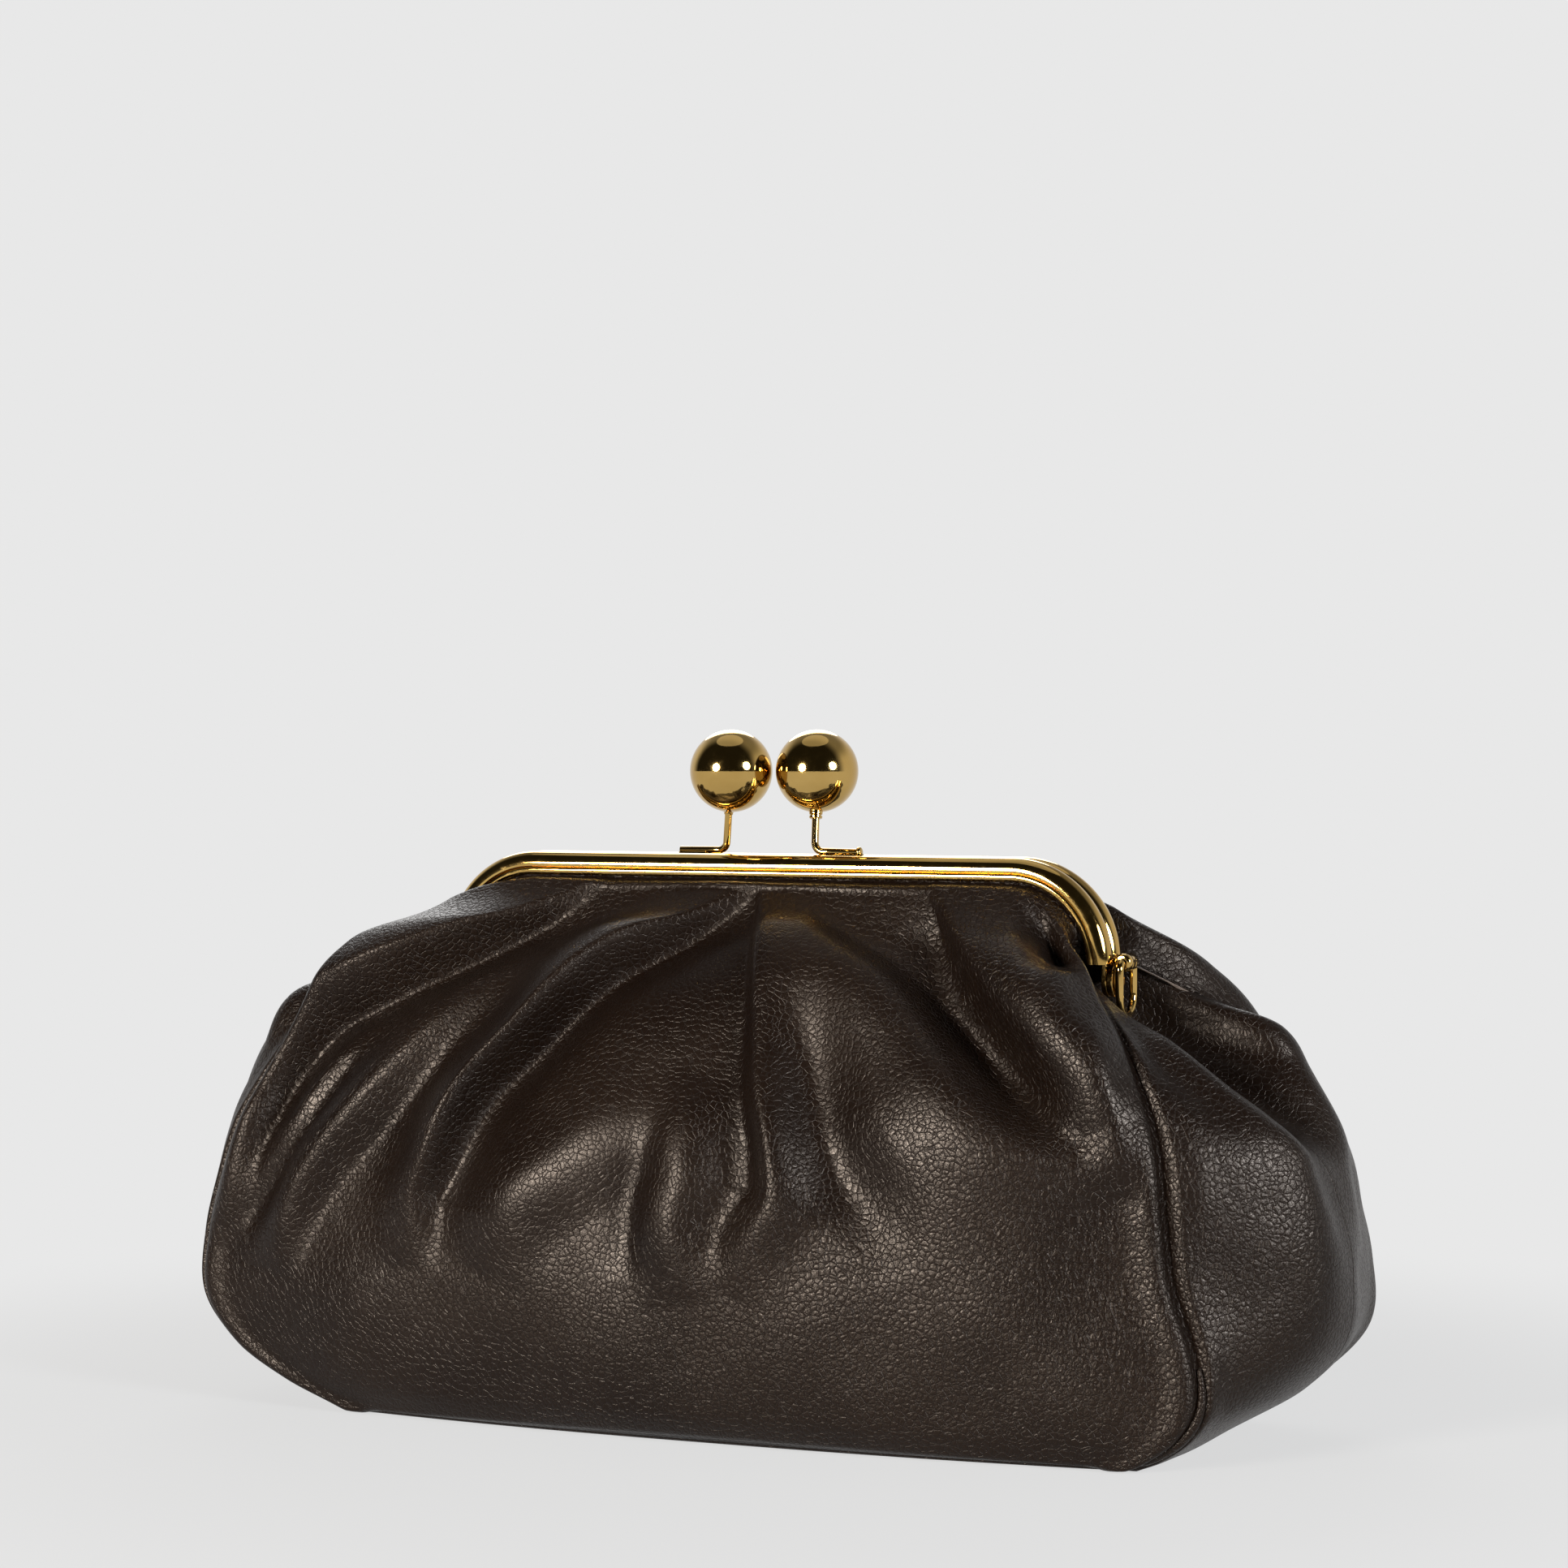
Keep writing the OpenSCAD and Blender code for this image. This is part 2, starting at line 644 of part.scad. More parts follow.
// Curled strip: a tab on the rivet that ends in a barrel for the ring
module ring_barrel() {
    difference() {
        union() {
            translate([tab_x, 0, hinge_z])
                rotate([0, 90, 0]) cylinder(d = head_d + 1, h = tab_t);
            translate([tab_x, -head_d / 2 - 0.5, hinge_z])
                cube([tab_t, head_d + 1, barrel_z - hinge_z]);
            translate([barrel_x, barrel_l / 2, barrel_z])
                rotate([90, 0, 0]) cylinder(d = barrel_d, h = barrel_l);
        }
        translate([barrel_x, barrel_l, barrel_z])
            rotate([90, 0, 0]) cylinder(d = ring_wire + 2 * bore_clearance, h = 2 * barrel_l);
        translate([tab_x - 1, 0, hinge_z])
            rotate([0, 90, 0]) cylinder(d = rivet_d + 2 * seat_gap, h = tab_t + 1);
    }
}

// Link-shaped ring that hangs from the barrel in the plane of the bag's end
module ring() {
    side_y = ring_w / 2 - ring_wire / 2;
    bar = side_y - ring_bend;
    drop = ring_h - ring_wire - side_y;
    translate([barrel_x, 0, barrel_z]) {
        translate([0, -bar, 0]) rotate([-90, 0, 0]) cylinder(d = ring_wire, h = 2 * bar);
        for (m = [0, 1])
            mirror([0, m, 0]) {
                translate([0, bar, -ring_bend])
                    rotate([90, 0, 90])
                        rotate_extrude(angle = 90) translate([ring_bend, 0]) circle(d = ring_wire);
                translate([0, side_y, -drop]) cylinder(d = ring_wire, h = drop - ring_bend);
            }
        translate([0, 0, -drop])
            rotate([90, 0, 90]) rotate([0, 0, 180])
                rotate_extrude(angle = 180, $fn = 64) translate([side_y, 0]) circle(d = ring_wire);
    }
}

module right_hinge_rivet() {
    color(gold_color) hinge_rivet();
}

module left_hinge_rivet() {
    color(gold_color) mirror([1, 0, 0]) hinge_rivet();
}

module right_ring_barrel() {
    color(gold_color) ring_barrel();
}

module left_ring_barrel() {
    color(gold_color) mirror([1, 0, 0]) ring_barrel();
}

module right_ring() {
    color(gold_color) ring();
}

module left_ring() {
    color(gold_color) mirror([1, 0, 0]) ring();
}

gusset();
front_panel();
back_panel();
gusset_lining();
front_lining();
back_lining();
base_board();
front_frame();
back_frame();
front_channel_cord();
back_channel_cord();
front_stem();
back_stem();
front_stem_pad();
back_stem_pad();
front_ball_collar();
back_ball_collar();
front_ball();
back_ball();
right_hinge_rivet();
left_hinge_rivet();
right_ring_barrel();
left_ring_barrel();
right_ring();
left_ring();
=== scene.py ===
"""Kiss lock frame purse in pebbled leather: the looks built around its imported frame."""

import logging
import math
from dataclasses import dataclass, field
from enum import Enum

import bmesh
import bpy
import numpy as np
from mathutils import Matrix, Vector


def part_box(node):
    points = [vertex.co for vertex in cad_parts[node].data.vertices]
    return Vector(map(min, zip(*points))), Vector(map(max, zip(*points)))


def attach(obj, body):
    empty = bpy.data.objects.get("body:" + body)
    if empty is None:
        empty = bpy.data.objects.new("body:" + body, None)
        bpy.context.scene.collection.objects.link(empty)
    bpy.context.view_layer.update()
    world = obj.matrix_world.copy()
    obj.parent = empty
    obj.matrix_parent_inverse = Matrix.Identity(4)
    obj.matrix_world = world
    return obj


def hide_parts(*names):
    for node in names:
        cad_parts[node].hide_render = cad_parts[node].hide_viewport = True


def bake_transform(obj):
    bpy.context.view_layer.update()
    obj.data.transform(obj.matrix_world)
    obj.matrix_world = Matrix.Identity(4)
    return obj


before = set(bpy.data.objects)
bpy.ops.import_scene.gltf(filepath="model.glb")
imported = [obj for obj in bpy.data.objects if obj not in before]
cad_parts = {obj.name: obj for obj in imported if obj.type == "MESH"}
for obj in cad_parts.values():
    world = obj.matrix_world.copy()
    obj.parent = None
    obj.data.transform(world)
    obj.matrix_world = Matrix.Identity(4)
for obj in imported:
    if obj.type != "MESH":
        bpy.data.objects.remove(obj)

LOG = logging.getLogger("purse")
MM = 0.001
Table = tuple[tuple[float, float], ...]
Line = tuple[tuple[float, float, float], ...]
Colour = tuple[float, float, float, float]


def curve(table: Table, place: np.ndarray | float) -> np.ndarray:
    """Smooth curve through a table of (place, value) pairs.

    Args:
        table: The pairs, with rising places.
        place: Where the curve is read.

    Returns:
        The value at each place.
    """
    pairs = np.asarray(table, float)
    x, y = pairs[:, 0], pairs[:, 1]
    low = np.maximum(np.arange(len(x)) - 1, 0)
    high = np.minimum(np.arange(len(x)) + 1, len(x) - 1)
    slope = (y[high] - y[low]) / (x[high] - x[low])
    t = np.clip(np.asarray(place, float), x[0], x[-1])
    i = np.clip(np.searchsorted(x, t, side="left") - 1, 0, len(x) - 2)
    h = x[i + 1] - x[i]
    u = (t - x[i]) / h
    return (
        (2 * u**3 - 3 * u**2 + 1) * y[i]
        + (u**3 - 2 * u**2 + u) * h * slope[i]
        + (3 * u**2 - 2 * u**3) * y[i + 1]
        + (u**3 - u**2) * h * slope[i + 1]
    )


def smooth(value: np.ndarray) -> np.ndarray:
    """Gives the smooth step of values from 0 to 1."""
    v = np.clip(value, 0, 1)
    return v * v * (3 - 2 * v)


def unit(vectors: np.ndarray) -> np.ndarray:
    """Gives the vectors with length 1."""
    return vectors / np.maximum(np.linalg.norm(vectors, axis=-1, keepdims=True), 1e-12)


def grid_normals(points: np.ndarray) -> np.ndarray:
    """Gives the normals of a grid of points, rows by columns."""
    return unit(np.cross(np.gradient(points, axis=1), np.gradient(points, axis=0)))


def run_length(points: np.ndarray, axis: int) -> np.ndarray:
    """Distance run along a grid of points.

    Args:
        points: The grid, rows by columns.
        axis: 0 to run over the rows, 1 over the columns.

    Returns:
        The distance at each grid point.
    """
    step = np.linalg.norm(np.diff(points, axis=axis), axis=-1)
    start = [(0, 0), (0, 0)]
    start[axis] = (1, 0)
    return np.cumsum(np.pad(step, start), axis=axis)


def line_run(line: np.ndarray) -> np.ndarray:
    """Gives the distance run at each corner of a line."""
    return np.concatenate([[0], np.cumsum(np.linalg.norm(np.diff(line, axis=0), axis=1))])


class Turn(Enum):
    """Whether a sheet stands at the front as drawn, or is turned half a turn."""

    BACK = 1
    FRONT = -1

    @property
    def word(self) -> str:
        """Gives the side's name."""
        return self.name.lower()

    def place(self, points: np.ndarray) -> np.ndarray:
        """Gives the points turned to their side."""
        return points * np.array([self.value, self.value, 1.0])


@dataclass(frozen=True)
class PurseForm:
    """Sizes of the pouch and frame in mm, as in the part's source."""

    hinge_z: float = 106.5
    frame_top: float = 135.0
    half_w: float = 87.0
    corner_r: float = 24.5
    rail_t: float = 6.2
    rail_h: float = 5.6
    rail_mid: float = 3.25
    bag_d: float = 105.0
    seam_d: float = 79.0
    seam_top: float = 111.0
    hang_h: float = 9.5
    neck: tuple[float, float] = (7.2, 7.75)
    lip: tuple[float, float] = (6.0, 4.9)
    tuck: tuple[float, float] = (3.4, 4.9)
    tuck_angle: float = 6.0
    end_bulge: float = 20.0
    belly_power: float = 2.4
    edge_dip: float = 7.0
    dip_start: float = 0.84
    near_x: tuple[float, float] = (82.0, 120.3)
    far_x: tuple[float, float] = (91.0, 138.5)
    near_out: Table = (
        (0, 0.57), (0.02, 0.71), (0.065, 0.89), (0.13, 0.99), (0.235, 0.96), (0.375, 0.82),
        (0.5, 0.77), (0.615, 0.73), (0.69, 0.67), (0.765, 0.57), (0.84, 0.44), (0.9, 0.3),
        (0.945, 0.18), (1, 0),
    )
    far_out: Table = (
        (0, 0.12), (0.02, 0.24), (0.065, 0.52), (0.13, 0.8), (0.235, 1), (0.375, 1),
        (0.5, 0.93), (0.615, 0.84), (0.69, 0.75), (0.765, 0.65), (0.84, 0.53), (0.9, 0.37),
        (0.945, 0.23), (1, 0),
    )
    seam_deep: Table = (
        (0, 1), (0.13, 0.96), (0.375, 0.91), (0.615, 0.86), (0.765, 0.76), (0.84, 0.67),
        (0.9, 0.56), (0.945, 0.46), (1, 0.3),
    )
    belly_deep: Table = (
        (0, 0.87), (0.065, 0.95), (0.235, 1), (0.375, 0.99), (0.5, 0.95), (0.615, 0.87),
        (0.765, 0.67), (0.84, 0.54), (0.9, 0.39), (0.945, 0.26), (1, 0.165),
    )
    belly_lift: Table = ((0, 0), (0.235, 0.2), (0.5, 0.38), (0.69, 0.6), (0.84, 0.78), (1, 1))
    follow_frame: Table = ((0, 0), (0.6, 0), (0.77, 0.3), (0.9, 0.6), (1, 0.92))
    front_fold: Table = (
        (0, 0.15), (0.02, 0.2), (0.065, 0.15), (0.13, 0.3), (0.235, 0.6), (0.375, 0.9),
        (0.5, 1), (0.615, 1), (0.69, 0.78), (0.765, 0.33), (0.84, -0.07), (0.9, -0.23),
        (0.945, -0.25), (1, -0.15),
    )
    valley_fold: Table = (
        (0, 0.15), (0.02, 0.2), (0.065, 0.2), (0.13, 0.33), (0.235, 0.62), (0.375, 0.86),
        (0.5, 0.9), (0.615, 0.78), (0.69, 0.45), (0.765, -0.1), (0.84, -0.85), (0.9, -1.1),
        (0.945, -1), (1, -0.6),
    )
    inner_fold: Table = (
        (0, 0.2), (0.02, 0.2), (0.065, 0.14), (0.13, 0.2), (0.235, 0.45), (0.375, 0.63),
        (0.5, 0.68), (0.615, 0.64), (0.69, 0.52), (0.765, 0.2), (0.84, -0.6), (0.9, -0.95),
        (0.945, -0.9), (1, -0.55),
    )
    back_fold: Table = (
        (0, 0.1), (0.02, 0.1), (0.065, 0.05), (0.13, 0), (0.235, 0.2), (0.375, 0.35),
        (0.5, 0.4), (0.615, 0.45), (0.69, 0.42), (0.765, 0.35), (0.84, 0.25), (0.9, 0.02),
        (0.945, -0.25), (1, -0.35),
    )
    fold_lines: tuple[float, float, float, float] = (-0.45, 0.0, 0.3, 0.65)
    mitre_up: Table = ((0, 0.72), (0.02, 0.6), (0.065, 0.4), (0.13, 0.2), (0.235, 0), (1, 0))
    mitre_in: tuple[float, float] = (0.6, 0.8)

    @property
    def flat_x(self) -> float:
        """Half the length of the frame's straight top."""
        return self.half_w - self.corner_r

    @property
    def corner_z(self) -> float:
        """Height of the frame's corner centres."""
        return self.frame_top - self.corner_r

    def arch(self, share: np.ndarray, inset: np.ndarray | float) -> np.ndarray:
        """Point on the frame's outline, set in by some mm.

        Args:
            share: Place along the outline, from -1 to 1.
            inset: How far inside the outline, in mm.

        Returns:
            The points as x and z.
        """
        radius = self.corner_r - np.asarray(inset, float)
        turn = math.radians(90 - self.tuck_angle)
        run = np.abs(share) * (self.flat_x + radius * turn)
        angle = math.pi / 2 - np.maximum(run - self.flat_x, 0) / radius
        flat = run <= self.flat_x
        x = np.where(flat, run, self.flat_x + radius * np.cos(angle))
        z = np.where(flat, self.frame_top - inset, self.corner_z + radius * np.sin(angle))
        return np.stack(np.broadcast_arrays(np.where(share < 0, -x, x), z), -1)

    def seam(self, t: np.ndarray, side: np.ndarray) -> np.ndarray:
        """Point on a side seam.

        Args:
            t: Height share, from 0 at the base to 1 at the frame.
            side: 1 for the panel's fuller side, -1 for its tighter side.

        Returns:
            The points as x out, y out and z.
        """
        near = self.near_x[0] + (self.near_x[1] - self.near_x[0]) * curve(self.near_out, t)
        far = self.far_x[0] + (self.far_x[1] - self.far_x[0]) * curve(self.far_out, t)
        y = curve(self.seam_deep, t) * self.seam_d / 2
        return np.stack(
            np.broadcast_arrays(np.where(side > 0, far, near), y, t * self.seam_top), -1
        )

    def panel(self, t: np.ndarray, s: np.ndarray) -> np.ndarray:
        """Outer face of the back panel below the frame.

        Args:
            t: Height share of each point.
            s: Place across, from -1 to 1.

        Returns:
            The points in mm.
        """
        edge = self.seam(t, s)
        follow = curve(self.follow_frame, t)
        here, end = self.arch(s, self.hang_h), self.arch(np.ones_like(s), self.hang_h)
        x = edge[..., 0] * s * (1 - follow) + here[..., 0] * edge[..., 0] / end[..., 0] * follow
        top = self.frame_top - self.hang_h
        lift = (1 - np.abs(s) ** 2.2) * (1 - follow) + (here[..., 1] - end[..., 1]) / (
            top - end[..., 1]
        ) * follow
        z = edge[..., 2] + (top - self.seam_top) * curve(self.belly_lift, t) * lift
        deep = curve(self.belly_deep, t) * self.bag_d / 2
        y = deep + (edge[..., 1] - deep) * np.abs(s) ** self.belly_power
        return np.stack([x, y, z], -1)

    def held_edge(self, s: np.ndarray, place: tuple[float, float]) -> np.ndarray:
        """Line of the panel at the frame's lip or in its channel.

        Args:
            s: Place across, from -1 to 1.
            place: Inset from the frame's outline and distance from the middle plane.

        Returns:
            The points in mm.
        """
        p = self.arch(s, place[0])
        return np.stack([p[..., 0], np.full_like(s, place[1]), p[..., 1]], -1)

    def gusset(self, t: np.ndarray, w: np.ndarray) -> np.ndarray:
        """Outer face of the gusset's right end.

        Args:
            t: Height share of each point.
            w: Place across, from -1 at the front seam to 1 at the back seam.

        Returns:
            The points in mm.
        """
        near, far = self.seam(t, -np.ones_like(t)), self.seam(t, np.ones_like(t))
        lines = (-1.0, *self.fold_lines, 1.0)
        rise = [np.zeros_like(t)] + [
            curve(f, t) for f in (self.front_fold, self.valley_fold, self.inner_fold, self.back_fold)
        ] + [np.zeros_like(t)]
        stand = hermite(lines, rise, w)
        dip = self.edge_dip * np.maximum(0, t - self.dip_start) / (1 - self.dip_start)
        x = near[..., 0] + (far[..., 0] - near[..., 0]) * (1 + w) / 2 + self.end_bulge * stand
        return np.stack([x, w * near[..., 1], near[..., 2] - dip * (1 - w * w)], -1)

    def seam_inward(self, t: np.ndarray, side_x: np.ndarray | float, side_y: float) -> np.ndarray:
        """Inward direction at a seam.

        Args:
            t: Height share.
            side_x: 1 at the right end, -1 at the left.
            side_y: 1 at the back, -1 at the front.

        Returns:
            The directions.
        """
        up = curve(self.mitre_up, t)
        flat = np.sqrt(1 - up * up)
        return np.stack(
            [-side_x * self.mitre_in[0] * flat, -side_y * self.mitre_in[1] * flat, up], -1
        )


def nearest(points: np.ndarray, line: np.ndarray) -> tuple[np.ndarray, np.ndarray]:
    """Distance of points to a line in space and how far along it they stand.

    Args:
        points: The points in mm.
        line: The line's corners in mm.

    Returns:
        The distances and the shares of the line's length.
    """
    step = np.linalg.norm(np.diff(line, axis=0), axis=1)
    along = np.concatenate([[0], np.cumsum(step)])
    best, share = np.full(points.shape[:-1], 1e9), np.zeros(points.shape[:-1])
    for a, b, first, size in zip(line[:-1], line[1:], along, step):
        c = np.clip(((points - a) @ (b - a)) / size**2, 0, 1)
        away = np.linalg.norm(points - a - c[..., None] * (b - a), axis=-1)
        share = np.where(away < best, (first + c * size) / along[-1], share)
        best = np.minimum(away, best)
    return best, share


def hermite(places: tuple[float, ...], values: list[np.ndarray], at: np.ndarray) -> np.ndarray:
    """Smooth curve through values that change from point to point.

    Args:
        places: Rising places.
        values: The value at each place, an array of the grid's shape.
        at: Where the curve is read, an array of the grid's shape.

    Returns:
        The values read.
    """
    x = np.array(places)
    y = np.stack(values)
    low = np.maximum(np.arange(len(x)) - 1, 0)
    high = np.minimum(np.arange(len(x)) + 1, len(x) - 1)
    slope = (y[high] - y[low]) / (x[high] - x[low])[:, None, None]
    i = np.clip(np.searchsorted(x, at, side="left") - 1, 0, len(x) - 2)
    h = x[i + 1] - x[i]
    u = (at - x[i]) / h

    def pick(a: np.ndarray, k: np.ndarray) -> np.ndarray:
        """Takes row k of a at each grid point."""
        return np.take_along_axis(a, k[None], 0)[0]

    return (
        (2 * u**3 - 3 * u**2 + 1) * pick(y, i)
        + (u**3 - 2 * u**2 + u) * h * pick(slope, i)
        + (3 * u**2 - 2 * u**3) * pick(y, i + 1)
        + (u**3 - u**2) * h * pick(slope, i + 1)
    )


@dataclass(frozen=True)
class Fold:
    """One pleat or ridge of the leather, along a line seen from the front.

    The line runs down from the frame in mm, as x and z. The rounded side of the fold falls off
    over `over` mm and the other side drops over `edge` mm into a crevice of `under` mm.
    """

    line: Table
    height: Table
    over: float = 9.0
    edge: float = 2.0
    under: float = 7.0
    depth: float = 0.5
    lean: float = 0.0
    crevice: int = 1
    soften: float = 0.0

    def press(self, x: np.ndarray, run: np.ndarray, stretch: "Stretch") -> tuple[np.ndarray, ...]:
        """How the fold moves the points of a sheet.

        Args:
            x: The points' place across, seen from the front.
            run: The points' run over the belly.
            stretch: What turns heights into that run.

        Returns:
            The rise along the normal, and the shift across and along the run.
        """
        line = np.array(self.line, float)
        line[:, 1] = stretch.run(line[:, 1])
        fine = np.linspace(0, len(line) - 1, 90)
        knots = np.arange(len(line), dtype=float)
        px = curve(tuple(zip(knots, line[:, 0])), fine)
        pr = curve(tuple(zip(knots, line[:, 1])), fine)
        step = np.hypot(np.diff(px), np.diff(pr))
        along = np.concatenate([[0], np.cumsum(step)])
        best = np.full(x.shape, 1e9)
        signed = np.zeros(x.shape)
        share = np.zeros(x.shape)
        nx, nr = np.zeros(x.shape), np.zeros(x.shape)
        for k in range(len(px) - 1):
            dx, dr = px[k + 1] - px[k], pr[k + 1] - pr[k]
            size = math.hypot(dx, dr)
            u = ((x - px[k]) * dx + (run - pr[k]) * dr) / size**2
            c = np.clip(u, 0, 1)
            ox, orr = x - px[k] - c * dx, run - pr[k] - c * dr
            d = np.hypot(ox, orr)
            closer = d < best
            best = np.where(closer, d, best)
            side = -ox * dr + orr * dx
            signed = np.where(closer, np.where(side >= 0, d, -d), signed)
            share = np.where(closer, (along[k] + c * size) / along[-1], share)
            nx = np.where(closer, -dr / size, nx)
            nr = np.where(closer, dx / size, nr)
        d = signed * self.crevice
        high = curve(self.height, share)
        edge = self.edge + self.soften * share
        rounded = np.exp(-((np.minimum(d, 0) / self.over) ** 2))
        fall = smooth(d / edge)
        deep = self.depth * np.exp(-((np.maximum(d - edge, 0) / self.under) ** 2))
        rise = high * np.where(d <= 0, rounded, 1 - fall - deep * fall)
        shift = self.lean * high * np.exp(-((d / (0.6 * self.over)) ** 2)) * self.crevice
        return rise, shift * nx, shift * nr


@dataclass(frozen=True)
class Stretch:
    """Turns a height on the belly into the run over it."""

    heights: np.ndarray
    runs: np.ndarray

    def run(self, z: np.ndarray) -> np.ndarray:
        """Gives the run over the belly at some height."""
        return np.interp(z, self.heights, self.runs)


class Shop:
    """Mesh work shared by the pieces."""

    @staticmethod
    def deselect() -> None:
        """Leaves edit mode and lets go of every object."""
        if bpy.context.object and bpy.context.object.mode != "OBJECT":
            bpy.ops.object.mode_set(mode="OBJECT")
        for o in bpy.context.selected_objects:
            o.select_set(False)

    @staticmethod
    def pick(obj: bpy.types.Object) -> None:
        """Selects one object alone and makes it active.

        Args:
            obj: The object.
        """
        Shop.deselect()
        obj.select_set(True)
        bpy.context.view_layer.objects.active = obj

    @staticmethod
    def from_arrays(
        name: str, points: np.ndarray, faces: list, uv: np.ndarray | None = None
    ) -> bpy.types.Object:
        """Makes an object from points in mm and faces.

        Args:
            name: The piece's name.
            points: The points in mm.
            faces: Lists of point numbers.
            uv: Pattern place of each point in metres, if the finish needs it.

        Returns:
            The object, smooth shaded.
        """
        mesh = bpy.data.meshes.new(name)
        mesh.from_pydata((points * MM).tolist(), [], faces)
        mesh.validate()
        if uv is not None:
            layer = mesh.uv_layers.new(name="pattern")
            loops = np.zeros(len(mesh.loops), np.int64)
            mesh.loops.foreach_get("vertex_index", loops)
            layer.data.foreach_set("uv", uv[loops].astype(np.float32).ravel())
        mesh.polygons.foreach_set("use_smooth", np.ones(len(mesh.polygons), bool))
        mesh.update()
        obj = bpy.data.objects.new(name, mesh)
        bpy.context.scene.collection.objects.link(obj)
        return obj

    @staticmethod
    def shell(
        name: str, outer: np.ndarray, inward: np.ndarray, wall: float, stride: int = 3
    ) -> bpy.types.Object:
        """Makes a closed shell from a fine outer face and a coarser inner face.

        Args:
            name: The piece's name.
            outer: Grid of outer points in mm, rows by columns, with counts of stride times n + 1.
            inward: Inward direction at each point.
            wall: Thickness in mm.
            stride: How much coarser the inner face is.

        Returns:
            The object.
        """
        m, n = outer.shape[:2]
        inner = (outer + inward * wall)[::stride, ::stride]
        im, inn = inner.shape[:2]
        points = np.concatenate([outer.reshape(-1, 3), inner.reshape(-1, 3)])
        base = m * n
        grid = np.arange(base).reshape(m, n)
        small = base + np.arange(im * inn).reshape(im, inn)
        mid = outer[m // 2, n // 2]
        normal = np.cross(outer[m // 2 + 1, n // 2] - mid, outer[m // 2, n // 2 + 1] - mid)
        flip = float(normal @ inward[m // 2, n // 2]) > 0

        def quads(g: np.ndarray, turned: bool) -> np.ndarray:
            """Quads of a grid of point numbers, turned over or not."""
            q = np.stack([g[:-1, :-1], g[1:, :-1], g[1:, 1:], g[:-1, 1:]], -1).reshape(-1, 4)
            return q[:, ::-1] if turned else q

        faces = quads(grid, flip).tolist() + quads(small, not flip).tolist()
        borders = (
            (grid[0], small[0], True),
            (grid[-1], small[-1], False),
            (grid[:, 0], small[:, 0], False),
            (grid[:, -1], small[:, -1], True),
        )
        for fine, coarse, way in borders:
            for k in range(len(coarse) - 1):
                ring = list(fine[k * stride : (k + 1) * stride + 1]) + [coarse[k + 1], coarse[k]]
                ring = [int(i) for i in ring]
                faces.append(ring[::-1] if way == flip else ring)
        u = run_length(outer, 1).reshape(-1)
        v = run_length(outer, 0).reshape(-1)
        uv = np.stack([u, v], -1) * MM
        uv = np.concatenate([uv, uv.reshape(m, n, 2)[::stride, ::stride].reshape(-1, 2)])
        return Shop.from_arrays(name, points, faces, uv)

    @staticmethod
    def outline(name: str, points: list[Vector], filled: bool = True) -> bpy.types.Object:
        """Adds a circle primitive and moves its vertices onto an outline, in edit mode.

        Args:
            name: The piece's name.
            points: The outline in metres, in order.
            filled: Whether the outline is filled with a face.

        Returns:
            The object, left in edit mode with all of it selected.
        """
        Shop.deselect()
        bpy.ops.mesh.primitive_circle_add(
            vertices=len(points), fill_type="NGON" if filled else "NOTHING"
        )
        obj = bpy.context.object
        obj.name = obj.data.name = name
        bpy.ops.object.mode_set(mode="EDIT")
        work = bmesh.from_edit_mesh(obj.data)
        work.verts.ensure_lookup_table()
        for v, p in zip(work.verts, points):
            v.co = p
        bmesh.update_edit_mesh(obj.data)
        bpy.ops.mesh.select_all(action="SELECT")
        return obj

    @staticmethod
    def close(obj: bpy.types.Object, merge: float = 1e-6, angle: float = 40.0) -> bpy.types.Object:
        """Merges doubles, turns the faces outwards and shades the piece.

        Args:
            obj: The piece, in edit mode.
            merge: Distance in metres for doubles.
            angle: Edges sharper than this stay sharp, in degrees.

        Returns:
            The piece, in object mode.
        """
        bpy.ops.mesh.select_all(action="SELECT")
        bpy.ops.mesh.remove_doubles(threshold=merge)
        bpy.ops.mesh.delete_loose(use_verts=True, use_edges=True, use_faces=False)
        bpy.ops.mesh.select_all(action="SELECT")
        bpy.ops.mesh.normals_make_consistent(inside=False)
        bpy.ops.object.mode_set(mode="OBJECT")
        Shop.pick(obj)
        bpy.ops.object.shade_smooth_by_angle(angle=math.radians(angle))
        Shop.deselect()
        return obj

    @staticmethod
    def lathe(
        name: str, profile: list[tuple[float, float]], origin: Vector, axis: Vector, steps: int
    ) -> bpy.types.Object:
        """Turns a profile about an axis.

        Args:
            name: The piece's name.
            profile: Distance along the axis and radius of each point, in mm, starting and
                ending on the axis or closed on itself.
            origin: Start of the axis in metres.
            axis: Its direction.
            steps: Number of steps in a full turn.

        Returns:
            The object.
        """
        way = axis.normalized()
        side = way.orthogonal().normalized()
        points = [origin + way * (a * MM) + side * (r * MM) for a, r in profile]
        obj = Shop.outline(name, points, filled=False)
        bpy.ops.mesh.spin(
            steps=steps, angle=math.tau, use_auto_merge=True, center=origin, axis=way
        )
        return Shop.close(obj, 2e-6)

    @staticmethod
    def plate(name: str, outline: list[Vector], push: Vector, bevel: float) -> bpy.types.Object:
        """Pushes a filled outline out into a plate with eased edges.

        Args:
            name: The piece's name.
            outline: The outline in metres.
            push: Thickness as a vector.
            bevel: Width of the eased edges in metres.

        Returns:
            The object.
        """
        obj = Shop.outline(name, outline)
        bpy.ops.mesh.extrude_region_move(TRANSFORM_OT_translate={"value": push})
        Shop.close(obj, 1e-7)
        Shop.pick(obj)
        mod = obj.modifiers.new("eased edges", "BEVEL")
        mod.width, mod.segments, mod.limit_method = bevel, 3, "ANGLE"
        mod.angle_limit = math.radians(45)
        bpy.ops.object.modifier_apply(modifier=mod.name)
        bpy.ops.object.shade_smooth_by_angle(angle=math.radians(40))
        Shop.deselect()
        return obj


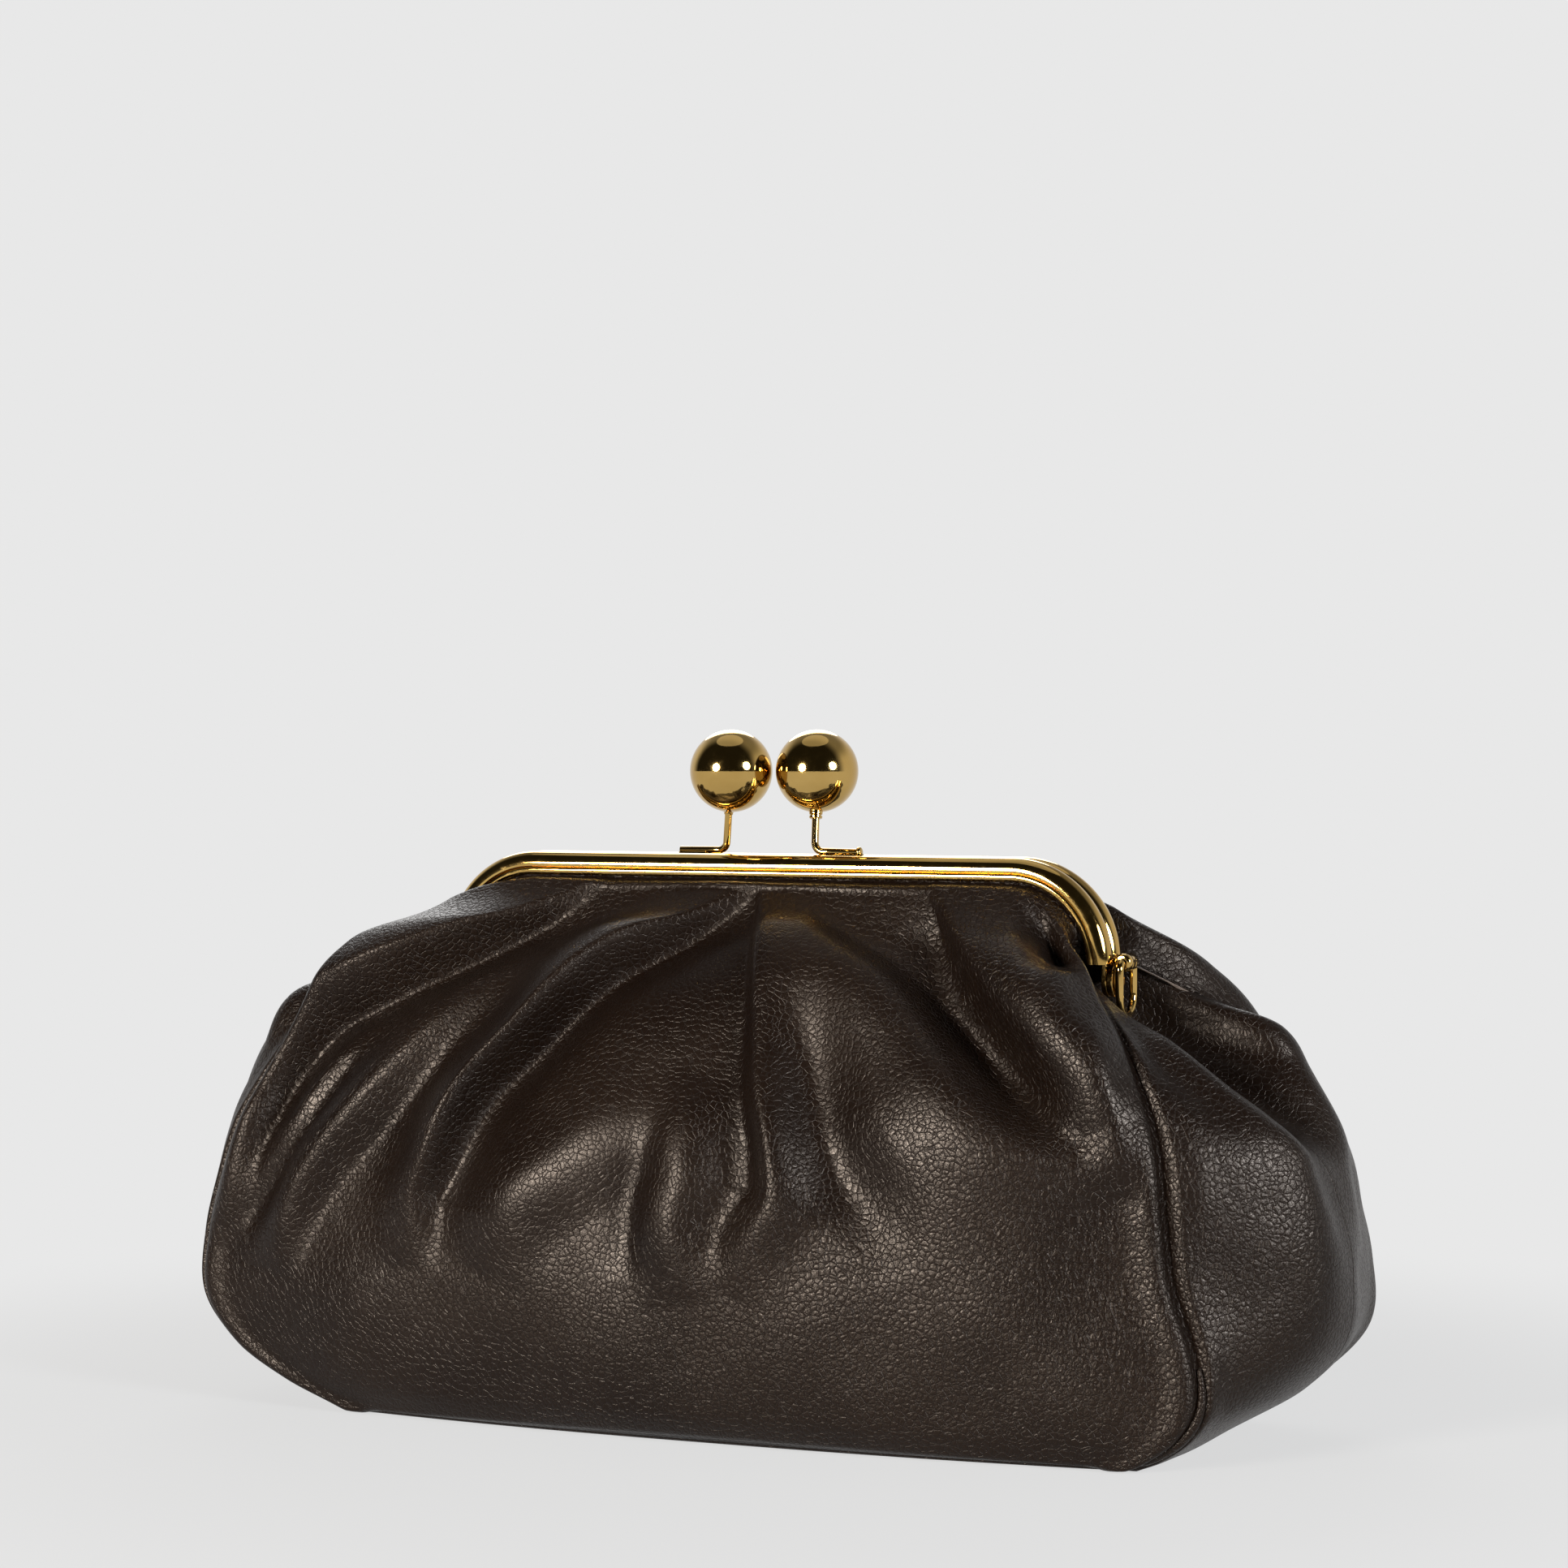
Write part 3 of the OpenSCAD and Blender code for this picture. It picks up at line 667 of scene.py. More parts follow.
class Sweep:
    """A section that is pushed straight and turned in arcs, as wire or rail is bent."""

    def __init__(
        self, name: str, section: list[Vector], place: Vector, heading: Vector, capped: bool = True
    ) -> None:
        """Starts the sweep.

        Args:
            name: The piece's name.
            section: The section's outline in metres, in a plane across the heading.
            place: Middle of the section.
            heading: Direction of the first move.
            capped: Whether its ends are closed. A ring, which meets itself, has none.
        """
        self.obj = Shop.outline(name, section, capped)
        self.place = place.copy()
        self.heading = heading.normalized()

    def straight(self, length: float) -> "Sweep":
        """Pushes the end on by some metres.

        Args:
            length: How far, in metres.

        Returns:
            The sweep, for the next move.
        """
        step = self.heading * length
        bpy.ops.mesh.extrude_region_move(TRANSFORM_OT_translate={"value": step})
        self.place += step
        return self

    def arc(self, centre: Vector, axis: Vector, angle: float, steps: int) -> "Sweep":
        """Turns the end about a centre.

        Args:
            centre: Centre of the arc in metres.
            axis: Axis of the turn.
            angle: Angle in degrees, right-handed about the axis.
            steps: Number of steps.

        Returns:
            The sweep, for the next move.
        """
        way = axis.normalized()
        for _ in range(steps):
            bpy.ops.mesh.extrude_region_move(TRANSFORM_OT_translate={"value": (0, 0, 0)})
            turn = Matrix.Rotation(math.radians(angle / steps), 4, way)
            work = bmesh.from_edit_mesh(self.obj.data)
            for v in work.verts:
                if v.select:
                    v.co = turn @ (v.co - centre) + centre
            bmesh.update_edit_mesh(self.obj.data)
        whole = Matrix.Rotation(math.radians(angle), 4, way)
        self.place = whole @ (self.place - centre) + centre
        self.heading = (whole @ self.heading).normalized()
        return self

    def swell(self, factor: float) -> "Sweep":
        """Scales the end section about its middle.

        Args:
            factor: How much wider it becomes.

        Returns:
            The sweep, for the next move.
        """
        work = bmesh.from_edit_mesh(self.obj.data)
        for v in work.verts:
            if v.select:
                v.co = self.place + (v.co - self.place) * factor
        bmesh.update_edit_mesh(self.obj.data)
        return self

    def end(self, angle: float = 40.0) -> bpy.types.Object:
        """Ends the sweep and gives its object."""
        return Shop.close(self.obj, 1e-6, angle)


def round_section(place: Vector, heading: Vector, diameter: float, count: int = 24) -> list[Vector]:
    """Round wire section.

    Args:
        place: Middle in metres.
        heading: Direction of the wire.
        diameter: Wire diameter in mm.
        count: Number of points.

    Returns:
        The outline in metres.
    """
    a = heading.normalized().orthogonal().normalized()
    b = heading.normalized().cross(a)
    r = diameter / 2 * MM
    turn = [math.tau * k / count for k in range(count)]
    return [place + a * (r * math.cos(t)) + b * (r * math.sin(t)) for t in turn]


# Finishes


def group(
    name: str, inputs: dict[str, tuple[str, float | tuple]], outputs: dict[str, str]
) -> bpy.types.NodeTree:
    """Starts a shared shader node group.

    Args:
        name: The group's name.
        inputs: Socket type and default of each input.
        outputs: Socket type of each output.

    Returns:
        The group, with its input and output nodes.
    """
    tree = bpy.data.node_groups.new(name, "ShaderNodeTree")
    for key, (kind, value) in inputs.items():
        socket = tree.interface.new_socket(key, in_out="INPUT", socket_type=kind)
        if kind != "NodeSocketVector":
            socket.default_value = value
    for key, kind in outputs.items():
        tree.interface.new_socket(key, in_out="OUTPUT", socket_type=kind)
    tree.nodes.new("NodeGroupInput")
    tree.nodes.new("NodeGroupOutput")
    return tree


class Graph:
    """Short calls to place and join shader nodes."""

    def __init__(self, tree: bpy.types.NodeTree) -> None:
        """Keeps the node tree."""
        self.tree = tree

    def node(self, kind: str, values: dict | None = None, **settings: object) -> bpy.types.Node:
        """Adds a node.

        Args:
            kind: Node type.
            values: Input values or sockets to join, by input name or number.
            settings: Node properties.

        Returns:
            The node.
        """
        made = self.tree.nodes.new(kind)
        for key, value in settings.items():
            setattr(made, key, value)
        self.fill(made, values or {})
        return made

    def fill(self, made: bpy.types.Node, values: dict) -> None:
        """Joins a node's inputs to sockets or gives them plain values.

        Args:
            made: The node.
            values: The values or sockets, by input name or number.
        """
        for key, value in values.items():
            if isinstance(value, bpy.types.NodeSocket):
                self.tree.links.new(value, made.inputs[key])
            else:
                made.inputs[key].default_value = value

    def math(self, operation: str, a: object, b: object = 0.0, c: object = 0.0) -> bpy.types.NodeSocket:
        """Adds a math node and gives its value."""
        return self.node("ShaderNodeMath", {0: a, 1: b, 2: c}, operation=operation).outputs[0]

    def ramp(
        self, value: bpy.types.NodeSocket, low: float, high: float, to_low: float = 0.0, to_high: float = 1.0
    ) -> bpy.types.NodeSocket:
        """Maps a value smoothly from one range to another.

        Args:
            value: The value.
            low: Start of its range.
            high: End of its range.
            to_low: What its start becomes.
            to_high: What its end becomes.

        Returns:
            The mapped value.
        """
        return self.node(
            "ShaderNodeMapRange",
            {0: value, 1: low, 2: high, 3: to_low, 4: to_high},
            interpolation_type="SMOOTHSTEP",
        ).outputs[0]

    def blend(self, share: object, a: object, b: object) -> bpy.types.NodeSocket:
        """Mixes two colours."""
        return self.node("ShaderNodeMix", {0: share, 6: a, 7: b}, data_type="RGBA").outputs[2]

    def noise(self, vector: object, scale: object, detail: float, rough: float = 0.5) -> bpy.types.NodeSocket:
        """Adds a noise texture and gives its value."""
        values = {"Vector": vector, "Scale": scale, "Detail": detail, "Roughness": rough}
        return self.node("ShaderNodeTexNoise", values).outputs["Fac"]

    def edges(self, vector: object, scale: object) -> bpy.types.NodeSocket:
        """Adds a pattern of cells and gives the distance to their edges."""
        values = {"Vector": vector, "Scale": scale}
        return self.node("ShaderNodeTexVoronoi", values, feature="DISTANCE_TO_EDGE").outputs["Distance"]

    def vector(self, operation: str, values: dict) -> bpy.types.NodeSocket:
        """Adds a vector math node and gives its vector."""
        return self.node("ShaderNodeVectorMath", values, operation=operation).outputs[0]

    def bump(self, strength: float, distance: float, height: object) -> bpy.types.NodeSocket:
        """Turns a pattern's height into a normal."""
        values = {"Strength": strength, "Distance": distance, "Height": height}
        return self.node("ShaderNodeBump", values).outputs[0]

    def give(self, **values: bpy.types.NodeSocket) -> None:
        """Joins values to the group's outputs.

        Args:
            values: The sockets, by output name.
        """
        out = next(n for n in self.tree.nodes if n.type == "GROUP_OUTPUT")
        for key, value in values.items():
            self.tree.links.new(value, out.inputs[key.replace("_", " ")])

    def take(self, key: str) -> bpy.types.NodeSocket:
        """Gives one of the group's inputs."""
        source = next(n for n in self.tree.nodes if n.type == "GROUP_INPUT")
        return source.outputs[key]


def pebble_group() -> bpy.types.NodeTree:
    """Pebbled grain of tumbled leather: domed cells with fine creases between them.

    Returns:
        The group, whose height is in shares of the grain's depth.
    """
    tree = group(
        "pebbled grain",
        {
            "Vector": ("NodeSocketVector", (0, 0, 0)),
            "Cells": ("NodeSocketFloat", 700.0),
            "Warp": ("NodeSocketFloat", 0.0009),
        },
        {"Height": "NodeSocketFloat", "Crease": "NodeSocketFloat"},
    )
    g = Graph(tree)
    place = g.take("Vector")
    drift = g.node("ShaderNodeTexNoise", {"Vector": place, "Scale": 260.0, "Detail": 2.0})
    centred = g.vector("SUBTRACT", {0: drift.outputs["Color"], 1: (0.5, 0.5, 0.5)})
    moved = g.vector("SCALE", {0: centred, "Scale": g.take("Warp")})
    warped = g.vector("ADD", {0: place, 1: moved})
    edge = g.edges(warped, g.take("Cells"))
    crease = g.ramp(edge, 0.0, 0.09, 1.0, 0.0)
    dome = g.ramp(edge, 0.0, 0.4)
    fine = g.ramp(g.edges(warped, g.math("MULTIPLY", g.take("Cells"), 2.1)), 0.0, 0.14)
    flat = g.math("SUBTRACT", 1.0, crease)
    height = g.math("MULTIPLY_ADD", flat, 0.55, g.math("MULTIPLY", fine, 0.14))
    height = g.math("MULTIPLY_ADD", dome, 0.35, height)
    height = g.math("MULTIPLY_ADD", g.noise(place, 5200.0, 2.0), 0.05, height)
    g.give(Height=height, Crease=crease)
    return tree


def patch_group() -> bpy.types.NodeTree:
    """Slow change over a surface, as handling and tumbling leave it.

    Returns:
        The group.
    """
    tree = group(
        "slow patches",
        {"Vector": ("NodeSocketVector", (0, 0, 0)), "Scale": ("NodeSocketFloat", 30.0)},
        {"Mask": "NodeSocketFloat"},
    )
    g = Graph(tree)
    g.give(Mask=g.ramp(g.noise(g.take("Vector"), g.take("Scale"), 4.0, 0.55), 0.32, 0.68))
    return tree


def weave_group() -> bpy.types.NodeTree:
    """Plain weave of fine threads, over and under, with a mask of the gaps between them for painted shade.

    Returns:
        The group.
    """
    tree = group(
        "plain weave",
        {"Vector": ("NodeSocketVector", (0, 0, 0)), "Threads": ("NodeSocketFloat", 1500.0)},
        {"Height": "NodeSocketFloat", "Gap": "NodeSocketFloat"},
    )
    g = Graph(tree)
    scaled = g.vector("SCALE", {0: g.take("Vector"), "Scale": g.take("Threads")})
    parts = g.node("ShaderNodeSeparateXYZ", {0: scaled})
    u, v = parts.outputs[0], parts.outputs[1]
    across = g.math("ABSOLUTE", g.math("SINE", g.math("MULTIPLY", u, math.pi)))
    along = g.math("ABSOLUTE", g.math("SINE", g.math("MULTIPLY", v, math.pi)))
    cells = g.math("ADD", g.math("FLOOR", u), g.math("FLOOR", v))
    check = g.math("MODULO", g.math("ABSOLUTE", cells), 2.0)
    over = g.math("MULTIPLY", across, check)
    under = g.math("MULTIPLY", along, g.math("SUBTRACT", 1.0, check))
    height = g.math("ADD", over, under)
    # the gaps between the threads, where shade is painted into the cloth's colour
    g.give(Height=height, Gap=g.ramp(height, 0.0, 0.35, 1.0, 0.0))
    return tree


def polish_group() -> bpy.types.NodeTree:
    """Faint hairlines and waviness of polished plated metal.

    Returns:
        The group.
    """
    tree = group(
        "plated polish",
        {"Vector": ("NodeSocketVector", (0, 0, 0))},
        {"Height": "NodeSocketFloat", "Haze": "NodeSocketFloat"},
    )
    g = Graph(tree)
    place = g.take("Vector")
    long = g.vector("MULTIPLY", {0: place, 1: (60.0, 2600.0, 2600.0)})
    height = g.math("MULTIPLY_ADD", g.noise(long, 1.0, 3.0), 0.25, g.noise(place, 120.0, 1.0))
    g.give(Height=height, Haze=g.ramp(g.noise(place, 420.0, 5.0, 0.65), 0.45, 0.75))
    return tree


class Kit:
    """The shared node groups, each built once."""

    groups: dict[str, bpy.types.NodeTree] = {}

    @classmethod
    def get(cls, name: str) -> bpy.types.NodeTree:
        """Gives a shared group, which is built when it is first asked for.

        Args:
            name: Its short name.

        Returns:
            The group.
        """
        makers = {"pebble": pebble_group, "patch": patch_group, "weave": weave_group, "polish": polish_group}
        if name not in cls.groups:
            cls.groups[name] = makers[name]()
        return cls.groups[name]

    @classmethod
    def place(cls, g: Graph, name: str, values: dict) -> bpy.types.NodeOutputs:
        """Places a shared group in a material with its own values and gives its outputs."""
        return g.node("ShaderNodeGroup", values, node_tree=cls.get(name)).outputs


def new_material(name: str) -> tuple[bpy.types.Material, Graph, bpy.types.Node]:
    """Starts a material and gives it with its graph and main shader.

    Args:
        name: The finish's name.

    Returns:
        The material, its graph and its shader.
    """
    material = bpy.data.materials.new(name)
    material.use_nodes = True
    return material, Graph(material.node_tree), material.node_tree.nodes["Principled BSDF"]


def shade(colour: Colour, factor: float) -> Colour:
    """Gives a colour made darker by a factor."""
    return tuple(c * factor for c in colour[:3]) + (1,)


@dataclass(frozen=True)
class Leather:
    """Pebbled calf leather with a soft finish."""

    name: str = "dark brown pebbled leather"
    light: Colour = (0.0058, 0.0029, 0.0016, 1)
    dark: Colour = (0.0036, 0.0017, 0.0010, 1)
    crease: Colour = (0.004, 0.0024, 0.002, 1)
    rough: tuple[float, float] = (0.29, 0.35)
    shine: float = 0.2
    shine_tint: Colour = (1.0, 0.87, 0.77, 1)
    cells: float = 690.0
    warp: float = 0.0011
    depth: float = 0.00017

    def make(self) -> bpy.types.Material:
        """Builds the material.

        Returns:
            The material.
        """
        material, g, shader = new_material(self.name)
        place = g.node("ShaderNodeTexCoord").outputs["Object"]
        grain = Kit.place(g, "pebble", {"Vector": place, "Cells": self.cells, "Warp": self.warp})
        worn = Kit.place(g, "patch", {"Vector": place, "Scale": 24.0})["Mask"]
        loose = Kit.place(g, "patch", {"Vector": place, "Scale": 11.0})["Mask"]
        tone = g.blend(worn, self.dark, self.light)
        rough = g.ramp(worn, 0, 1, *self.rough)
        height = g.math("MULTIPLY", grain["Height"], g.ramp(loose, 0, 1, 0.45, 1.0))
        g.fill(shader, {
            "Base Color": g.blend(g.math("MULTIPLY", grain["Crease"], 0.55), tone, self.crease),
            "Roughness": g.math("MULTIPLY_ADD", grain["Crease"], 0.12, rough),
            "Normal": g.bump(1.0, self.depth, height),
            "Specular IOR Level": self.shine,
            "Specular Tint": self.shine_tint,
        })
        return material


@dataclass(frozen=True)
class Gold:
    """Polished gold plate."""

    name: str = "polished gold plate"
    colour: Colour = (0.56, 0.375, 0.125, 1)
    deep: Colour = (0.48, 0.305, 0.09, 1)
    rough: float = 0.07

    def make(self) -> bpy.types.Material:
        """Builds the material.

        Returns:
            The material.
        """
        material, g, shader = new_material(self.name)
        place = g.node("ShaderNodeTexCoord").outputs["Object"]
        polish = Kit.place(g, "polish", {"Vector": place})
        tone = Kit.place(g, "patch", {"Vector": place, "Scale": 60.0})["Mask"]
        g.fill(shader, {
            "Base Color": g.blend(tone, self.deep, self.colour),
            "Metallic": 1.0,
            "Roughness": g.math("MULTIPLY_ADD", polish["Haze"], 0.06, self.rough),
            "Normal": g.bump(0.12, 0.00006, polish["Height"]),
        })
        return material


@dataclass(frozen=True)
class Lining:
    """Brown lining cloth, woven of fine threads."""

    name: str = "brown lining cloth"
    colour: Colour = (0.105, 0.072, 0.052, 1)
    threads: float = 1400.0

    def make(self) -> bpy.types.Material:
        """Builds the material.

        Returns:
            The material.
        """
        material, g, shader = new_material(self.name)
        pattern = g.node("ShaderNodeUVMap").outputs[0]
        weave = Kit.place(g, "weave", {"Vector": pattern, "Threads": self.threads})
        place = g.node("ShaderNodeTexCoord").outputs["Object"]
        tone = Kit.place(g, "patch", {"Vector": place, "Scale": 40.0})["Mask"]
        base = g.blend(tone, shade(self.colour, 0.72), self.colour)
        g.fill(shader, {
            # painted shade: the cloth's colour darkens in the gaps between the threads, over its random tone
            # patches
            "Base Color": g.blend(g.math("MULTIPLY", weave["Gap"], 0.6), base, shade(self.colour, 0.3)),
            "Roughness": g.ramp(weave["Height"], 0, 1, 0.8, 0.55),
            "Normal": g.bump(0.5, 0.00012, weave["Height"]),
            "Sheen Weight": 0.2,
        })
        return material


@dataclass(frozen=True)
class PaperCord:
    """Twisted kraft paper cord."""

    name: str = "twisted paper cord"
    colour: Colour = (0.48, 0.38, 0.25, 1)
    twist: float = 0.0016

    def make(self) -> bpy.types.Material:
        """Builds the material.

        Returns:
            The material.
        """
        material, g, shader = new_material(self.name)
        place = g.node("ShaderNodeTexCoord").outputs["Object"]
        parts = g.node("ShaderNodeSeparateXYZ", {0: place})
        upright = g.math("MULTIPLY", g.math("ADD", parts.outputs[1], parts.outputs[2]), 1.4)
        lay = g.math("MULTIPLY", g.math("ADD", parts.outputs[0], upright), math.tau / self.twist)
        twist = g.math("ABSOLUTE", g.math("SINE", lay))
        # painted shade: the colour darkens in the grooves of the twist, and noise mottles it as the paper's
        # fibre
        groove_shade_and_fibre = g.math("MULTIPLY", twist, g.noise(place, 3000.0, 3.0))
        g.fill(shader, {
            "Base Color": g.blend(groove_shade_and_fibre, shade(self.colour, 0.6), self.colour),
            "Roughness": g.ramp(twist, 0, 1, 0.9, 0.7),
            "Normal": g.bump(0.6, 0.0002, twist),
        })
        return material


@dataclass
class Finishes:
    """The finishes of the purse."""

    leather: bpy.types.Material = field(default_factory=lambda: Leather().make())
    gold: bpy.types.Material = field(default_factory=lambda: Gold().make())
    lining: bpy.types.Material = field(default_factory=lambda: Lining().make())
    cord: bpy.types.Material = field(default_factory=lambda: PaperCord().make())

    def dress(self, obj: bpy.types.Object, finish: bpy.types.Material, slot: str) -> bpy.types.Object:
        """Gives a piece its finish and logs it.

        Args:
            obj: The piece.
            finish: Its material.
            slot: Not used.

        Returns:
            The piece.
        """
        obj.data.materials.clear()
        obj.data.materials.append(finish)
        LOG.info("piece %s: %s, %d faces", obj.name, finish.name, len(obj.data.polygons))
        return obj


# Pouch


FRONT_FOLDS = (
    # left outer roll and the small one beside it
    Fold(
        line=(
            (-45, 129), (-48, 127), (-70, 116), (-94, 105.5), (-108, 99), (-117, 90.5), (-123.5, 80.5),
            (-126.5, 70.5), (-129, 60.5), (-132, 46.5), (-132, 38),
        ),
        height=((0, 2.5), (0.1, 5.5), (0.35, 9.0), (0.6, 8.0), (0.85, 4.5), (1, 0)),
        over=14, edge=4.5, under=8, depth=0.5, lean=0.2, soften=6,
    ),
    Fold(
        line=((-91.5, 95.5), (-100.5, 84.5), (-111.5, 68.5), (-123.5, 51.5), (-128.5, 41.5)),
        height=((0, 0), (0.3, 2.6), (0.7, 2.6), (1, 0)),
        over=5, edge=6, under=5, depth=0.2,
    ),
    # broad roll between the two left pleats and the hollow beside it
    Fold(
        line=(
            (-49.8, 112.2), (-68.5, 98.5), (-80.5, 85.5), (-91.5, 74.5), (-100.5, 64.5), (-108.5, 52.5),
            (-112.5, 42.5), (-115, 33),
        ),
        height=((0, 0), (0.3, 4.0), (0.6, 5.0), (0.85, 3.4), (1, 0)),
        over=8, edge=10, under=9, depth=0.25,
    ),
    Fold(
        line=(
            (-36.2, 113.9), (-49.5, 104.5), (-60.5, 91.5), (-72.5, 78.5), (-78.5, 65.5), (-83.5, 51.5),
            (-82.5, 41.5),
        ),
        height=((0, 0), (0.3, -1.6), (0.7, -1.8), (1, 0)),
        over=9, edge=10, under=9, depth=0,
    ),
    # left main pleat, rolled over towards the lower right
    Fold(
        line=(
            (-3, 130), (-4.2, 128.1), (-15.2, 121), (-31.5, 113), (-43.5, 103.5), (-52.5, 93.5),
            (-60.5, 84.5), (-65.5, 75.5), (-69.5, 65.5), (-73.5, 55.5), (-73.5, 46.5), (-74.5, 37),
        ),
        height=((0, 1.5), (0.06, 3.4), (0.3, 7.5), (0.6, 8.0), (0.8, 5.0), (1, 0)),
        over=9, edge=4.2, under=9, depth=0.65, lean=0.3, soften=5,
    ),
    # soft ridges on the belly left of the middle
    Fold(
        line=((-11.5, 81), (-22.5, 73), (-32.5, 64), (-42.5, 57), (-47.5, 50), (-53.5, 37)),
        height=((0, 0), (0.35, 3.2), (0.7, 3.4), (1, 0)),
        over=10, edge=17, under=9, depth=0,
    ),
    Fold(
        line=((0.5, 85), (-2.5, 71), (-1.5, 61), (-3.5, 51), (0.5, 33)),
        height=((0, 0), (0.35, 3.0), (0.7, 3.4), (1, 0)),
        over=8.5, edge=12, under=9, depth=0,
    ),
    Fold(
        line=((-8.5, 79), (-12.5, 65), (-14.5, 53), (-14.5, 37)),
        height=((0, 0), (0.4, -1.4), (0.7, -1.6), (1, 0)),
        over=5, edge=7, under=9, depth=0,
    ),
    # centre pleat, its right side over its left
    Fold(
        line=((-1, 130), (10, 102), (15, 84), (20, 71), (22, 59), (19, 52), (16, 46), (12, 35)),
        height=((0, 1.2), (0.2, 2.2), (0.45, 3.0), (0.65, 4.8), (0.82, 3.6), (1, 0)),
        over=8, edge=1.8, under=8, depth=0.4, crevice=-1, soften=9,
    ),
    # hollow right of it
    Fold(
        line=((17, 106), (25, 89), (30, 75), (35, 66), (43, 57), (48, 50), (51, 40)),
        height=((0, 0), (0.3, -3.4), (0.65, -3.8), (1, 0)),
        over=7.5, edge=16, under=9, depth=0,
    ),
    # swell from the frame down to the belly's right, and the deep hollow behind it
    Fold(
        line=((5, 127), (20, 113), (39, 105), (54, 93), (65, 79), (80, 69), (98, 62)),
        height=((0, 0), (0.15, 3.2), (0.45, 4.0), (0.75, 4.8), (1, 0)),
        over=15, edge=10, under=10, depth=0.3,
    ),
    Fold(
        line=((42, 121), (50, 108), (60, 98), (73, 88), (87, 76)),
        height=((0, 0), (0.35, -4.6), (0.7, -5.0), (1, 0)),
        over=8, edge=10, under=9, depth=0,
    ),
    # right pleat, its right side over its left
    Fold(
        line=((41, 131), (48, 124), (56, 115), (64, 108), (73, 101), (82, 92), (89, 83), (94, 74)),
        height=((0, 1.6), (0.15, 3.4), (0.5, 5.4), (0.75, 4.0), (1, 0)),
        over=11, edge=2.4, under=9, depth=0.4, lean=0.15, crevice=-1, soften=10,
    ),
    # dark pocket inside the frame's right leg
    Fold(
        line=((68, 126), (73, 122.5), (77, 117), (79, 111)),
        height=((0, 0), (0.3, -9.0), (0.7, -10.0), (1, -4)),
        over=4.5, edge=7, under=9, depth=0,
    ),
    # roll over the right corner
    Fold(
        line=((70, 118), (77, 108), (84, 98), (91, 91), (95, 83), (98, 74), (101, 60)),
        height=((0, 1.5), (0.15, 4.0), (0.6, 4.8), (0.85, 3.2), (1, 0)),
        over=8, edge=9, under=9, depth=0,
    ),
)


@dataclass(frozen=True)
class Crease:
    """A crease or ridge of the bag's end: its line in space, how far it stands out and its width."""

    line: Line
    rise: float
    width: float


# drawn for the right end
END_CREASES = (
    Crease(
        (
            (82, -10, 108.6), (94, -12, 99.5), (101, -14, 94), (111, -16, 88), (119, -17, 83), (129, -17, 77),
            (137, -14, 73), (143, -6, 71),
        ),
        2.6, 5.0,
    ),
    Crease(((84, 1, 108), (96, 1, 99), (110, 1, 90), (124, 2, 83), (134, 4, 76)), -5.5, 8.0),
    Crease(
        (
            (84, 12, 115), (96, 16, 107.5), (111, 18, 99.5), (124.5, 18, 89), (135, 16, 76), (139, 12, 65),
            (143, 10, 50),
        ),
        2.6, 6.0,
    ),
    Crease(((112, -10, 78), (124, -10, 70), (134, -8, 63), (138, -6, 54)), -3.4, 6.0),
)
# a ridge that stands out at the left end only
LEFT_RIDGE = Crease(
    ((-98, -15, 106), (-109, -15, 102), (-120, -15, 96), (-129, -15, 88), (-135, -15, 78)), 7.5, 9.0
)


def seam_groove(reach: np.ndarray, high: np.ndarray, roll: float, width: float) -> np.ndarray:
    """How far leather sinks at a seam, wider towards the frame, with a roll beside it.

    Args:
        reach: Distance from the seam in mm.
        high: Height of the points in mm.
        roll: How far the roll beside the seam stands out.
        width: The groove's half width below the frame.

    Returns:
        The depth in mm.
    """
    top = smooth((high - 97.0) / 9.0)
    sunk = (2.6 + 2.6 * top) * np.exp(-((reach / (width + 2.2 * top)) ** 2))
    return sunk - roll * np.exp(-(((reach - 5.5) / 3.4) ** 2))


